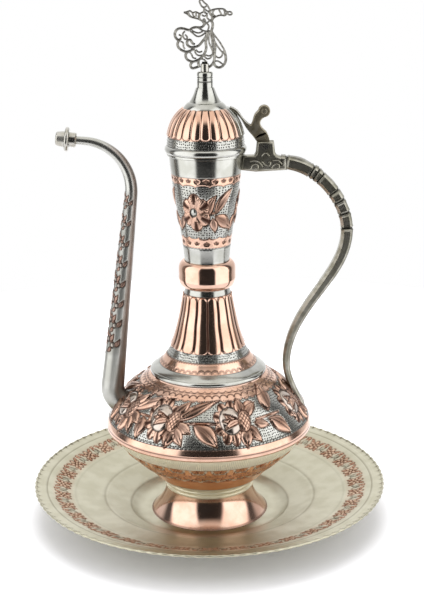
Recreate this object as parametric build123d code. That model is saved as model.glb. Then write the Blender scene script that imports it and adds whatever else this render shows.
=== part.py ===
from build123d import *
import math
import os

# A tinned copper ewer (ibrik) standing in its basin, in millimetres.
# The origin is the middle of the basin's underside: +Z is up, +X points to the handle and
# -X to the spout. Jug heights are written above the foot's lower edge, and each finished
# jug piece is lifted at the end to stand on the basin's floor.

# ---- basin ----
tray_wall = 1.2
tray_floor_radius = 58.0
tray_well_width, tray_well_rise = 10.1, 5.5
tray_slope_width, tray_slope_rise = 22.2, 8.2
tray_ledge_width, tray_ledge_rise = 26.5, 4.8
tray_band_width, tray_band_rise = 22.3, 7.1
tray_lip_width, tray_lip_rise = 10.9, 1.7
tray_edge_radius = 1.3

# ---- foot and lower bowl ----
jug_wall = 1.1
foot_radius = 50.0
foot_height = 22.5
foot_waist_radius = 36.6
collar_height = 7.0
collar_bead_radius = 38.3
collar_groove_depth = 1.5
collar_bore_radius = 33.5
bowl_height = 49.9
bowl_base_radius = 36.6
bowl_top_radius = 83.0
seam_flange_width = 2.2
seam_lip = 1.3

# ---- upper body and neck ----
body_height = 46.6
body_top_radius = 48.3
body_flange_width = 7.0
skirt_radius = 47.3
skirt_lip = 2.2

# ---- chased flowers on the shoulder, set out by hand, so not quite evenly ----
flower_turns = (-69, -32, 17, 69.5, 115, 160, 205, 249)
flower_drop = 23.0
flower_zone_low, flower_zone_high = 1.8, 6.5
flower_ring_width, flower_ring_height = 29.0, 37.0
flower_dome_width, flower_dome_rise = 19.0, 2.1
petal_rise = 0.75
petal_bite = 0.5
leaf_length, leaf_width = 30.0, 9.5
upper_leaf, lower_leaf = (17.0, -0.5), (22.0, -4.5)
leaf_leans = ((24, -48), (70, -30))
flower_reach, flower_depth = 6.0, 22.0
spout_clearing, handle_clearing = 12.5, 6.5

# ---- neck ----
lower_neck_height = 84.0
waist_radius = 18.6
upper_neck_height = 101.7
mouth_radius = 30.2
mouth_rim_radius = 31.8
mouth_rim_height = 2.4
ring_radius = 23.6
ring_below, ring_above = 11.0, 11.5

# ---- lid ----
lid_wall = 1.1
lid_bead_radius = 33.3
lid_bead_height = 5.6
lid_dome_height = 28.9
lid_shoulder_radius = 31.4
lid_crown_radius = 18.5
lid_crown_hole_radius = 12.0
sleeve_depth = 6.0
sleeve_side_gap = 1.6
cone_height = 17.0
cone_ring_height = 5.4
cone_ring_radius = 13.4
cone_top_radius = 7.2

# ---- finial ----
spindle_radius = 3.0
spindle_head_radius = 3.4
spindle_head_height = 6.0
spindle_tail = 9.0
finial_sleeve_radius = 6.4
finial_sleeve_height = 12.6
nut_across_flats = 10.0
nut_height = 4.8
figure_height = 52.8
figure_thickness = 1.8
figure_wire = 1.1
figure_tab_depth = 4.0

# ---- handle and hinge ----
handle_depth = 10.0
handle_reach = 114.8
handle_bend_inset = 18.7
grip_root_depth = 5.0
handle_foot_drop = 33.5
handle_bevel = 1.9
handle_top_thickness = 10.6
handle_tip_thickness = 4.6
bracket_drop = 3.5
bracket_height = 13.2
bracket_length = 17.1
fork_width = 15.0
fork_height = 11.6
fork_bevel = 3.6
pin_beyond_mouth = 16.3
pin_above_mouth = 4.1
pin_radius = 1.5
pin_head_radius = 2.1
pin_head_height = 0.4
knuckle_radius = 4.6
lever_thickness = 3.8
lever_width = 7.0
lever_clear_radius = 10.0
thumb_curl_radius = 4.8

# ---- spout ----
spout_wall = 1.0
spout_root_radius = 10.4
spout_tip_radius = 3.2
spout_tip_reach = 104.0
spout_tip_rise = 5.5
spout_elbow_inset, spout_elbow_drop = 2.9, 24.3
spout_elbow_bend = 16.0
spout_root_length, spout_root_slope = 18.5, 27.8
spout_top_reach, spout_top_above_mouth = 56.2, 5.4
spout_top_bend = 40.0
nozzle_radius = 6.0
nozzle_length = 5.6
spigot_radius = 4.0
spigot_length = 6.0
cap_flange_radius = 10.0
cap_flange_thickness = 3.4
cap_length = 10.8
cap_root_radius = 7.4
cap_end_radius = 5.4

# ---- fits ----
solder_gap = 0.1
running_gap = 0.3
pin_gap = 0.05

seam_flange_radius = bowl_top_radius + seam_flange_width

# heights above the foot's lower edge, each one stacked on the piece below
collar_z = foot_height
bowl_z = collar_z + collar_height
body_z = bowl_z + bowl_height
neck_z = body_z + body_height
waist_z = neck_z + lower_neck_height
mouth_z = waist_z + upper_neck_height
dome_z = mouth_z + lid_bead_height
crown_z = dome_z + lid_dome_height
sleeve_z = crown_z + cone_height
spindle_z = sleeve_z + finial_sleeve_height
figure_z = spindle_z + spindle_head_height
pin_z = mouth_z + pin_above_mouth
pin_reach = mouth_rim_radius + pin_beyond_mouth
slot_width = lever_thickness + 2 * running_gap
figure_drawn_height = 52.8
figure_unit = figure_height / figure_drawn_height
nozzle_bore_radius = spout_tip_radius - spout_wall


def points_between(start, end, shape):
    """Points whose (radius, height) shares of the way from start to end are given by shape."""
    (start_r, start_z), (end_r, end_z) = start, end
    return [(start_r + (end_r - start_r) * r, start_z + (end_z - start_z) * z) for r, z in shape]


def lathe(*edges):
    """A solid turned about the Z axis from a closed half section."""
    return revolve(make_face(edges), Axis.Z, 360)


def line_through(points):
    """A smooth line in the XZ plane through (radius, height) points."""
    return Spline([(r, 0, z) for r, z in points])


def straight(*points):
    """Straight runs in the XZ plane between (radius, height) points."""
    return Polyline([(r, 0, z) for r, z in points])


def inner_line(outer, wall, count=14):
    """The inside of a spun sheet: a line one wall inside the outer line, level at both ends."""
    points = []
    for step in range(count + 1):
        spot, along = outer @ (step / count), outer % (step / count)
        if step in (0, count):
            points.append((spot.X - wall / max(abs(along.Z), 0.35), spot.Z))
        else:
            points.append((spot.X - wall * along.Z, spot.Z + wall * along.X))
    return line_through(points)


def end_of(line, share):
    """The (radius, height) of one end of a line: share 0 is its start and 1 is its end."""
    spot = line @ share
    return spot.X, spot.Z


def spun_sheet(outer, wall):
    """A sheet metal shell turned from its outer line, with level edges."""
    inner = inner_line(outer, wall)
    bottom = straight(end_of(outer, 0), end_of(inner, 0))
    top = straight(end_of(outer, 1), end_of(inner, 1))
    return lathe(outer, top, inner, bottom)


def ring(outer_radius, inner_radius, bottom, height):
    """A plain ring about the Z axis."""
    solid = Cylinder(outer_radius, height) - Cylinder(inner_radius, height)
    return Pos(0, 0, bottom + height / 2) * solid


def disc(radius, bottom, height):
    return Pos(0, 0, bottom + height / 2) * Cylinder(radius, height)


def plate(outline, thickness):
    """A flat piece that stands in the XZ plane, with its thickness shared out along Y."""
    return extrude(make_face(outline), amount=thickness / 2, dir=(0, 1, 0), both=True)


# ---- outer lines that several pieces share ----

def upper_body_line(grow=0.0):
    """The shoulder of the body, from the seam up to the neck, grown outwards by a gap."""
    start = (seam_flange_radius + seam_lip, body_z + 2 * seam_lip)
    end = (body_top_radius, neck_z - jug_wall)
    shape = ((0, 0), (0.04, 0.10), (0.16, 0.28), (0.33, 0.48), (0.51, 0.66), (0.74, 0.83), (1, 1))
    return line_through([(r + grow, z + grow) for r, z in points_between(start, end, shape)])


def flower_plane(turn):
    """A plane that touches the shoulder where a flower's middle lies, its X to the right."""
    line = upper_body_line()
    low, high = 0.0, 1.0
    for _ in range(20):
        share = (low + high) / 2
        low, high = (share, high) if (line @ share).Z < neck_z - flower_drop else (low, share)
    spot, along = line @ share, line % share
    touching = Plane(origin=spot, x_dir=(0, 1, 0), z_dir=(along.Z, 0, -along.X))
    return Plane(Rot(0, 0, turn - 90) * touching.location)


def leaf_place(start, lean):
    """The middle and the lean of a leaf that starts at a point of the flower's plane."""
    turn = math.radians(lean)
    middle = start[0] + leaf_length / 2 * math.cos(turn), start[1] + leaf_length / 2 * math.sin(turn)
    return Pos(*middle) * Rot(0, 0, lean)


def make_flowers():
    """The main raised forms of the chasing: a ring of petals with a dome in it, and two leaves, each time."""
    radius = flower_dome_width / 2
    ball = (radius ** 2 + flower_dome_rise ** 2) / (2 * flower_dome_rise)
    petal_ring = Ellipse(flower_ring_width / 2, flower_ring_height / 2)
    leaf = Ellipse(leaf_length / 2, leaf_width / 2)
    petals, domes = [], []
    for number, turn in enumerate(flower_turns):
        place = flower_plane(turn)
        upper_lean, lower_lean = leaf_leans[number % 2]
        leaves = [leaf_place(upper_leaf, upper_lean) * leaf, leaf_place(lower_leaf, lower_lean) * leaf]
        for shape in [petal_ring] + leaves:
            petals.append(place * Pos(0, 0, -flower_depth) * extrude(shape, flower_depth + flower_reach))
        stub = Cylinder(radius, 3 * flower_dome_rise)
        domes.append(place * (stub & Pos(0, 0, flower_dome_rise - ball) * Sphere(ball)))
    sheet = body_envelope(petal_rise) - body_envelope(-petal_bite)
    raised = Part() + [piece & sheet for piece in petals]
    raised += [dome - body_envelope(-petal_bite) for dome in domes]
    tall = 2 * body_height
    for side, clearing in ((-1, spout_clearing), (1, handle_clearing)):
        clear_box = Box(1.4 * seam_flange_radius, 2 * clearing, tall)
        raised -= Pos(side * seam_flange_radius, 0, neck_z) * clear_box
    low = body_z + 2 * seam_lip + flower_zone_low
    height = neck_z - flower_zone_high - low
    return raised & ring(1.2 * seam_flange_radius, 0.5 * body_top_radius, low, height)


def upper_neck_line(grow=0.0):
    """The neck above its ring, from the waist up to the mouth."""
    start = (waist_radius, waist_z + ring_above)
    end = (mouth_radius, mouth_z - mouth_rim_height)
    shape = ((0, 0), (0.16, 0.21), (0.37, 0.40), (0.59, 0.58), (0.79, 0.76), (0.91, 0.89), (1, 1))
    return line_through([(r + grow, z) for r, z in points_between(start, end, shape)])


# ---- basin ----

def tray_top_points():
    """Radius and height of the basin's creases, from the flat floor out to the edge."""
    steps = (
        (tray_slope_width, tray_slope_rise),
        (tray_ledge_width, tray_ledge_rise),
        (tray_band_width, tray_band_rise),
        (tray_lip_width - tray_edge_radius, tray_lip_rise),
    )
    points = [(tray_floor_radius + tray_well_width, tray_wall + tray_well_rise)]
    for width, rise in steps:
        points.append((points[-1][0] + width, points[-1][1] + rise))
    return points


def make_tray():
    creases = tray_top_points()
    floor_end = (tray_floor_radius, tray_wall)
    well_middle = (tray_floor_radius + 0.5 * tray_well_width, tray_wall + 0.3 * tray_well_rise)
    edges = []
    for drop in (0, tray_wall):
        flat, middle, *outer = [(r, z - drop) for r, z in (floor_end, well_middle, *creases)]
        edges += [straight((0, flat[1]), flat), line_through([flat, middle, outer[0]]), straight(*outer)]
    edge_r, edge_z = creases[-1]
    edges += [straight((0, tray_wall), (0, 0)), straight((edge_r, edge_z), (edge_r, edge_z - tray_wall))]
    sheet = lathe(*edges)
    rolled_edge = Pos(0, 0, edge_z - tray_wall / 2) * Torus(edge_r, tray_edge_radius)
    return sheet + rolled_edge


# ---- jug ----

def make_foot():
    shape = ((0, 0), (0.27, 0.16), (0.62, 0.42), (0.88, 0.73), (1, 1))
    outer = line_through(points_between((foot_radius, 0), (foot_waist_radius, foot_height), shape))
    return spun_sheet(outer, jug_wall)


def make_collar():
    """Two soldered beads between the foot and the bowl."""
    bead = collar_height / 2
    groove = collar_bead_radius - collar_groove_depth
    middle, top = collar_z + bead, collar_z + collar_height
    return lathe(
        ThreePointArc(
            (groove, 0, collar_z), (collar_bead_radius, 0, collar_z + bead / 2), (groove, 0, middle)),
        ThreePointArc((groove, 0, middle), (collar_bead_radius, 0, middle + bead / 2), (groove, 0, top)),
        straight(
            (groove, top), (collar_bore_radius, top), (collar_bore_radius, collar_z), (groove, collar_z)),
    )


def bowl_line():
    shape = (
        (0, 0), (0.13, 0.06), (0.29, 0.21), (0.48, 0.38),
        (0.68, 0.55), (0.84, 0.72), (0.95, 0.88), (1, 1))
    top = (bowl_top_radius, body_z - jug_wall)
    return line_through(points_between((bowl_base_radius, bowl_z), top, shape))


def make_bowl():
    outer = bowl_line()
    inner = inner_line(outer, jug_wall)
    top_r, top_z = end_of(outer, 1)
    inner_top_r, _ = end_of(inner, 1)
    first_r, first_z = end_of(inner, 0)
    wall_side = lathe(
        outer,
        straight((top_r, top_z), (inner_top_r, top_z)),
        inner,
        straight((first_r, first_z), (bowl_base_radius, bowl_z)),
    )
    base = disc(bowl_base_radius, bowl_z, jug_wall)
    flange = ring(seam_flange_radius, inner_top_r, top_z, jug_wall)
    return wall_side + base + flange


def make_upper_body():
    outer = upper_body_line()
    inner = inner_line(outer, jug_wall)
    start_r, start_z = end_of(outer, 0)
    inner_r, inner_z = end_of(inner, 0)
    top_r, top_z = end_of(outer, 1)
    shoulder = lathe(
        outer,
        straight((top_r, top_z), end_of(inner, 1)),
        inner,
        straight((inner_r, inner_z), (start_r, start_z)),
    )
    # the sheet is folded round the bowl's flange to make the seam
    under_z = body_z - jug_wall - solder_gap - seam_lip
    hem = ring(start_r, seam_flange_radius + solder_gap, under_z, start_z - under_z)
    under_lip = ring(start_r, bowl_top_radius + 2 * solder_gap, under_z, seam_lip)
    over_lip = ring(start_r, inner_r - seam_lip, body_z + solder_gap, start_z - body_z - solder_gap)
    hem = fillet((hem + under_lip + over_lip).edges().filter_by(GeomType.CIRCLE).group_by(
        SortBy.RADIUS)[-1].sort_by(Axis.Z)[:1], seam_lip * 0.6)
    flange = ring(top_r, body_top_radius - body_flange_width, neck_z - jug_wall, jug_wall)
    return shoulder + hem + flange + make_flowers()


def lower_neck_line():
    """The skirt and fluted neck, from the step on the shoulder up to the waist."""
    start = (skirt_radius - 0.5 * skirt_lip, neck_z + skirt_lip)
    end = (waist_radius, waist_z - ring_below)
    shape = ((0, 0), (0.26, 0.11), (0.54, 0.27), (0.74, 0.49), (0.88, 0.73), (0.97, 0.93), (1, 1))
    return line_through(points_between(start, end, shape))


def make_lower_neck():
    outer = lower_neck_line()
    start_r, start_z = end_of(outer, 0)
    step = lathe(
        straight((start_r, start_z), (start_r - 2 * jug_wall, start_z), (start_r - 2 * jug_wall, neck_z)),
        straight((start_r - 2 * jug_wall, neck_z), (skirt_radius, neck_z)),
        ThreePointArc(
            (skirt_radius, 0, neck_z),
            (skirt_radius + 0.1 * skirt_lip, 0, neck_z + 0.6 * skirt_lip),
            (start_r, 0, start_z),
        ),
    )
    tube = ring(waist_radius, waist_radius - jug_wall, waist_z - ring_below, ring_below)
    return spun_sheet(outer, jug_wall) + step + tube


def make_neck_ring():
    """The hollow knop that covers the joint between the two neck pieces."""
    bore = waist_radius + solder_gap
    low, high, middle = waist_z - ring_below, waist_z + ring_above, waist_z + 0.5 * (ring_above - ring_below)
    barrel = 0.36 * (ring_below + ring_above)
    outer = Spline(
        (bore + jug_wall, 0, low), (ring_radius - 0.8, 0, middle - barrel), (ring_radius, 0, middle),
        (ring_radius - 0.8, 0, middle + barrel), (bore + jug_wall, 0, high),
    )
    hollow = ring_radius - jug_wall
    inner = ThreePointArc((bore, 0, low + jug_wall), (hollow, 0, middle), (bore, 0, high - jug_wall))
    return lathe(
        outer,
        straight((bore + jug_wall, high), (bore, high), (bore, high - jug_wall)),
        inner,
        straight((bore, low + jug_wall), (bore, low), (bore + jug_wall, low)),
    )


def make_upper_neck():
    tube = ring(waist_radius, waist_radius - jug_wall, waist_z, ring_above)
    rim_z = mouth_z - mouth_rim_height
    rim = ring(mouth_rim_radius, mouth_radius - 1.5 * jug_wall, rim_z, mouth_rim_height)
    rim = fillet(rim.edges().filter_by(GeomType.CIRCLE).group_by(SortBy.RADIUS)[-1], 0.8)
    return spun_sheet(upper_neck_line(), jug_wall) + tube + rim


# ---- spout ----

def spout_path():
    """Middle line of the spout: out of the body, up beside the neck and over to the tip."""
    slope, rise = math.radians(spout_root_slope), math.radians(spout_tip_rise)
    elbow = Vector(-(seam_flange_radius - spout_elbow_inset), 0, neck_z - spout_elbow_drop)
    root = elbow + Vector(math.cos(slope), 0, -math.sin(slope)) * spout_root_length
    top = Vector(-spout_top_reach, 0, mouth_z + spout_top_above_mouth)
    tip = top + Vector(-1, 0, math.tan(rise)) * (spout_tip_reach - spout_top_reach)
    return FilletPolyline([root, elbow, top, tip], radius=[spout_elbow_bend, spout_top_bend])


def spout_solid(path, shrink):
    """A tapered round bar along the spout's path; shrink makes its radius smaller."""
    total = path.length
    solid = None
    done = 0.0
    for run in path.edges():
        count = 1 if run.geom_type == GeomType.LINE else max(4, round(run.length / 7))
        sections = []
        for step in range(count + 1):
            share = (done + run.length * step / count) / total
            radius = spout_root_radius + (spout_tip_radius - spout_root_radius) * share - shrink
            place = Plane(origin=run @ (step / count), x_dir=(0, 1, 0), z_dir=run % (step / count))
            sections.append(place * Circle(radius))
        piece = loft(sections)
        solid = piece if solid is None else solid + piece
        done += run.length
    return solid


def body_envelope(grow):
    """Everything inside the shoulder's outer surface, grown by a gap."""
    line = upper_body_line(grow)
    low_r, low_z = end_of(line, 0)
    high_r, high_z = end_of(line, 1)
    return lathe(line, straight((high_r, high_z), (0, high_z), (0, low_z), (low_r, low_z)))


def neck_envelope(grow):
    """Everything inside the upper neck and its rim, grown by a gap."""
    line = upper_neck_line(grow)
    low_r, low_z = end_of(line, 0)
    high_r, high_z = end_of(line, 1)
    rim_r = mouth_rim_radius + grow
    return lathe(line, straight(
        (high_r, high_z), (rim_r, high_z - grow), (rim_r, mouth_z), (0, mouth_z), (0, low_z), (low_r, low_z)))


def at_spout_tip(distance=0.0):
    """A place on the axis of the tip, so far outwards, with its local Z pointing out."""
    path = spout_path()
    return Plane(origin=path @ 1 + (path % 1) * distance, x_dir=(0, 1, 0), z_dir=path % 1)


def make_nozzle():
    """The collar that ends the spout, with the spigot that the cap pushes on to."""
    base = (Align.CENTER, Align.CENTER, Align.MIN)
    bore = Cylinder(nozzle_bore_radius, nozzle_length + spigot_length, align=base)
    collar = Cylinder(nozzle_radius, nozzle_length, align=base)
    collar = chamfer(collar.edges().group_by(Axis.Z)[0], 0.8)
    spigot = Cylinder(spigot_radius, nozzle_length + spigot_length, align=base)
    return at_spout_tip() * (collar + spigot - bore)


def make_cap():
    base = (Align.CENTER, Align.CENTER, Align.MIN)
    flange = Cylinder(cap_flange_radius, cap_flange_thickness, align=base)
    flange = fillet(flange.edges(), 0.45 * cap_flange_thickness)
    barrel = Cone(cap_root_radius, cap_end_radius, cap_length, align=base)
    barrel = fillet(barrel.edges().group_by(Axis.Z)[-1], 1.6)
    bore = Cylinder(spigot_radius + running_gap, spigot_length + running_gap, align=base)
    return at_spout_tip(nozzle_length + running_gap) * (flange + barrel - bore)


# ---- handle and hinge ----

def thickness_edges(path, start_thickness, end_thickness, count=22):
    """The two sides of a bar along a path, with a thickness that tapers from start to end."""
    sides = ([], [])
    for step in range(count + 1):
        share = step / count
        spot, along = path @ share, path % share
        half = 0.5 * (start_thickness + (end_thickness - start_thickness) * share ** 1.6)
        sides[0].append((spot.X + half * along.Z, 0, spot.Z - half * along.X))
        sides[1].append((spot.X - half * along.Z, 0, spot.Z + half * along.X))
    return sides


def make_grip():
    """The long S of the handle, from the bracket over and down to the shoulder."""
    near = (seam_flange_radius - handle_bend_inset, neck_z - handle_foot_drop)
    far = (handle_reach, mouth_z - bracket_drop - 0.6 * handle_top_thickness)
    shape = (
        (0.16, 0.985), (0.51, 0.94), (0.83, 0.854), (1.0, 0.737), (0.94, 0.639), (0.727, 0.543),
        (0.433, 0.445), (0.168, 0.344), (0.014, 0.244), (0.0, 0.147), (0.093, 0.081), (0.27, 0.0),
    )
    root = (pin_reach + bracket_length - grip_root_depth, far[1])
    path = line_through([root] + points_between(near, far, shape))
    left, right = thickness_edges(path, handle_top_thickness, handle_tip_thickness)
    outline = [Spline(left), Line(left[-1], right[-1]), Spline(right), Line(right[0], left[0])]
    return chamfer(plate(outline, handle_depth).edges().filter_by(GeomType.BSPLINE), handle_bevel)


def make_bracket():
    """The block on the neck, with the fork that the lid's lever turns in."""
    top, left, right = mouth_z - bracket_drop, mouth_radius - 6.0, pin_reach + bracket_length
    low = top - bracket_height
    fork_left, fork_right = pin_reach - 0.5 * fork_width, pin_reach + 0.5 * fork_width
    base = plate([straight(
        (left, low + 1.5), (left + 16, low), (right, low + 1.2), (right, top - 2.6), (fork_right, top),
        (left, top), (left, low + 1.5))], handle_depth)
    base = chamfer(base.edges().filter_by(Axis.Y, reverse=True).group_by(Axis.Z)[-1], 1.2)
    fork = plate([straight(
        (fork_left, top - 4), (fork_right + 0.8, top - 4), (fork_right - 0.4, top + fork_height),
        (fork_left + 0.4, top + fork_height), (fork_left, top - 4))], handle_depth)
    upright = [edge for edge in fork.edges() if abs((edge % 0.5).Z) > 0.9]
    fork = chamfer(upright, fork_bevel, fork_bevel * 0.55)
    return base + fork


def make_handle():
    slot_floor = pin_z - knuckle_radius - 2 * running_gap
    slot_height = mouth_z - bracket_drop + fork_height - slot_floor + 1
    slot = Pos(pin_reach, 0, slot_floor + slot_height / 2) * Box(2 * fork_width, slot_width, slot_height)
    hole = Pos(pin_reach, 0, pin_z) * Rot(90, 0, 0) * Cylinder(pin_radius + pin_gap, 2 * handle_depth)
    casting = make_grip() + make_bracket() - slot - hole
    return casting - neck_envelope(solder_gap) - body_envelope(solder_gap)


def make_pin():
    length = handle_depth + 2 * pin_gap
    pin = Cylinder(pin_radius, length + 2 * pin_head_height)
    head = Cylinder(pin_head_radius, pin_head_height)
    for side in (-1, 1):
        pin += Pos(0, 0, side * (length + pin_head_height) / 2) * head
    return Pos(pin_reach, 0, pin_z) * Rot(90, 0, 0) * pin


# ---- lid ----

def lid_line(grow=0.0):
    """The dome of the lid above its bead."""
    shape = ((0, 0), (0.05, 0.24), (0.21, 0.52), (0.37, 0.68), (0.56, 0.81), (0.80, 0.93), (1, 1))
    points = points_between((lid_shoulder_radius, dome_z), (lid_crown_radius, crown_z), shape)
    return line_through([(r + grow, z + grow) for r, z in points])


def make_dome():
    outer = lid_line()
    inside = lid_shoulder_radius - 2 * lid_wall
    bead = lathe(
        ThreePointArc(
            (lid_bead_radius - 0.9, 0, mouth_z),
            (lid_bead_radius, 0, mouth_z + 0.45 * lid_bead_height),
            (lid_shoulder_radius, 0, dome_z),
        ),
        straight((lid_shoulder_radius, dome_z), (inside, dome_z), (inside, mouth_z)),
        straight((inside, mouth_z), (lid_bead_radius - 0.9, mouth_z)),
    )
    crown = ring(lid_crown_radius, lid_crown_hole_radius, crown_z - lid_wall, lid_wall)
    return spun_sheet(outer, lid_wall) + bead + crown


def make_sleeve():
    """The collar under the lid that drops into the mouth of the neck."""
    seat = lid_shoulder_radius - 2 * lid_wall - solder_gap
    outer_r = mouth_radius - 1.5 * jug_wall - sleeve_side_gap
    inner_r = outer_r - lid_wall
    top_z, low_z = mouth_z + 0.6 * lid_bead_height, mouth_z - sleeve_depth
    return lathe(straight(
        (seat, mouth_z), (seat, top_z), (inner_r, top_z), (inner_r - 0.8, low_z),
        (outer_r - 0.8, low_z), (outer_r, mouth_z), (seat, mouth_z)))


def make_cone():
    """The silvered cone on the crown, closed by a plate that the spindle passes through."""
    ring_z = crown_z + cone_ring_height
    foot = line_through([
        (lid_crown_radius - 0.3, crown_z), (lid_crown_radius - 1.6, crown_z + 0.4 * cone_ring_height),
        (cone_ring_radius, ring_z)])
    side = line_through([
        (cone_ring_radius - 0.5, ring_z), (cone_ring_radius - 3.2, ring_z + 0.36 * (sleeve_z - ring_z)),
        (cone_top_radius + 0.9, ring_z + 0.8 * (sleeve_z - ring_z)), (cone_top_radius, sleeve_z)])
    wall = lid_wall
    foot_r, side_r = lid_crown_radius - 0.3, cone_ring_radius - 0.5
    outline = lathe(
        foot, straight((cone_ring_radius, ring_z), (side_r, ring_z)), side,
        straight((cone_top_radius, sleeve_z), (0, sleeve_z), (0, crown_z), (foot_r, crown_z)))
    hollow = lathe(straight(
        (0, crown_z), (foot_r - 3 * wall, crown_z), (side_r - 1.6 * wall, ring_z - wall),
        (cone_top_radius - wall, sleeve_z - 1.5 * wall), (0, sleeve_z - 1.5 * wall), (0, crown_z)))
    return outline - hollow - disc(spindle_radius + solder_gap, crown_z, cone_height)


def make_finial_sleeve():
    groove = 0.4
    solid = disc(finial_sleeve_radius, sleeve_z, finial_sleeve_height)
    solid = fillet(solid.edges().group_by(Axis.Z)[-1], 1.9)
    for share in (0.52, 0.66):
        groove_z = sleeve_z + share * finial_sleeve_height
        solid -= ring(finial_sleeve_radius + 1, finial_sleeve_radius - groove, groove_z, 2 * groove)
    return solid - disc(spindle_radius + solder_gap, sleeve_z, finial_sleeve_height)


def make_spindle():
    """The threaded pin that holds the finial's pieces down on the cone."""
    low_z = sleeve_z - spindle_tail
    rod = disc(spindle_radius, low_z, spindle_z - low_z)
    head = disc(spindle_head_radius, spindle_z, spindle_head_height)
    head = fillet(head.edges().group_by(Axis.Z)[-1], 0.5)
    slot_width = figure_thickness + 2 * solder_gap
    slot = Pos(0, 0, figure_z - figure_tab_depth / 2) * Box(20, slot_width, figure_tab_depth)
    return rod + head - slot


def make_nut():
    top = sleeve_z - 1.5 * lid_wall
    blank = RegularPolygon(nut_across_flats / 2, 6, major_radius=False)
    nut = extrude(blank, amount=nut_height) - Cylinder(spindle_radius + solder_gap, 4 * nut_height)
    return Pos(0, 0, top - nut_height) * nut


def loop(centre, length, width, turn):
    """An oval of flat wire, drawn in the figure's own units: turn is its lean to the right, in degrees."""
    tall, wide = figure_unit * length / 2, figure_unit * width / 2
    oval = Ellipse(wide, tall)
    if wide > 1.5 * figure_wire:
        oval -= Ellipse(wide - figure_wire, tall - figure_wire)
    return Pos(figure_unit * centre[0], figure_unit * centre[1]) * Rot(0, 0, -turn) * oval


def make_figure():
    """A whirling dancer in openwork: a tall hat, two spread arms and a fanned skirt of petals."""
    waist_x, waist_up = 3.8, 28.4
    tab_height = figure_tab_depth + 2.2
    tab = Rectangle(2 * spindle_head_radius - 1.4, tab_height)
    wires = [Pos(0, tab_height / 2 - figure_tab_depth) * tab]
    # skirt: lean of each petal from straight down, its length, its width and the size of its curled end
    for lean, length, width, curl in (
            (-85, 27.5, 7.6, 9.2), (-66, 27.4, 8.6, 8.6), (-43, 27.7, 8.4, 8.4), (-26, 29.5, 7.4, 6.4),
            (-6, 27.4, 7.0, 5.0), (15, 29.5, 7.6, 7.6), (35, 22.5, 6.0, 4.4)):
        across, down = math.sin(math.radians(lean)), math.cos(math.radians(lean))
        middle = (waist_x + across * length / 2, waist_up - down * length / 2)
        wires.append(loop(middle, length, width, -lean))
        to_curl = length - curl / 2
        wires.append(loop((waist_x + across * to_curl, waist_up - down * to_curl), curl, curl, 0))
    # waist, chest, head and hat
    for centre, length, width, turn in (
            ((3.2, 31.8), 8.4, 4.6, 8), ((0.4, 37.6), 5.8, 5.8, 0), ((4.6, 38.2), 5.8, 5.8, 0),
            ((2.1, 42.1), 5.4, 5.0, 0), ((1.0, 45.6), 5.4, 4.6, -28), ((-1.6, 49.1), 8.6, 3.8, -36)):
        wires.append(loop(centre, length, width, turn))
    # arms: rows of beads that get smaller towards the hands
    for centre, size in (
            ((-2.6, 40.2), 5.6), ((-6.1, 40.3), 5.6), ((-9.2, 40.7), 4.6), ((-11.9, 41.3), 3.6),
            ((7.4, 41.2), 6.2), ((11.0, 42.3), 6.2), ((14.4, 42.4), 5.2), ((17.3, 42.0), 3.8)):
        wires.append(loop(centre, size, size, 0))
    for centre in ((-14.3, 41.8), (19.8, 41.4)):
        wires.append(loop(centre, 3.6, 2.4, 90))
    sheet = extrude(Sketch() + wires, amount=figure_thickness / 2, both=True)
    return Pos(0, 0, figure_z) * Rot(90, 0, 0) * sheet


def make_lever():
    """The lid's strap and thumb piece: one casting that turns on the hinge pin."""
    def at_pin(x, z):
        return pin_reach + x, 0, pin_z + z

    def at_crown(x, z):
        return lid_crown_radius + x, 0, crown_z + z

    curl_x, curl_z = -1.0, 28.0
    curl_left = at_pin(curl_x - thumb_curl_radius, curl_z + 1.0)
    curl_low = at_pin(curl_x, curl_z - thumb_curl_radius)
    fork = at_pin(-11.7, 17.0)
    back = at_pin(3.3, 5.3)
    knuckle_right, knuckle_left = at_pin(knuckle_radius, 0), at_pin(-knuckle_radius, 0)
    strap_top, strap_under = at_crown(1.4, 1.6), at_crown(1.0, -0.6)
    outline = [
        Spline(strap_top, at_crown(7.1, -1.4), at_crown(12.4, -8.6), fork),
        Spline(fork, at_pin(-10.5, 19.5), at_pin(-8.7, 25.3), curl_left),
        Line(curl_left, curl_low),
        Spline(curl_low, at_pin(-3.8, 20.5), at_pin(-3.5, 15.9), at_pin(0.5, 11.5), back),
        Line(back, knuckle_right),
        ThreePointArc(knuckle_right, at_pin(0, -knuckle_radius), knuckle_left),
        Spline(knuckle_left, at_pin(-7.3, 3.3), at_pin(-9.5, 7.3), at_pin(-12.7, 11.1), at_pin(-16.5, 16.3),
               at_crown(9.7, -8.2), strap_under),
        Line(strap_under, strap_top),
    ]
    around_pin = Pos(pin_reach, 0, pin_z) * Rot(90, 0, 0)
    wide = plate(outline, lever_width) - around_pin * Cylinder(lever_clear_radius, 2 * lever_width)
    curl = Pos(*at_pin(curl_x, curl_z)) * Rot(90, 0, 0) * Cylinder(thumb_curl_radius, lever_width)
    lever = plate(outline, lever_thickness) + wide + curl
    lever -= around_pin * Cylinder(pin_radius + pin_gap, 2 * lever_width)
    return lever - lathe(
        lid_line(solder_gap),
        straight(
            (lid_crown_radius + solder_gap, crown_z + solder_gap), (0, crown_z + solder_gap),
            (0, dome_z), (lid_shoulder_radius + solder_gap, dome_z + solder_gap)))


# ---- build ----

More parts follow.
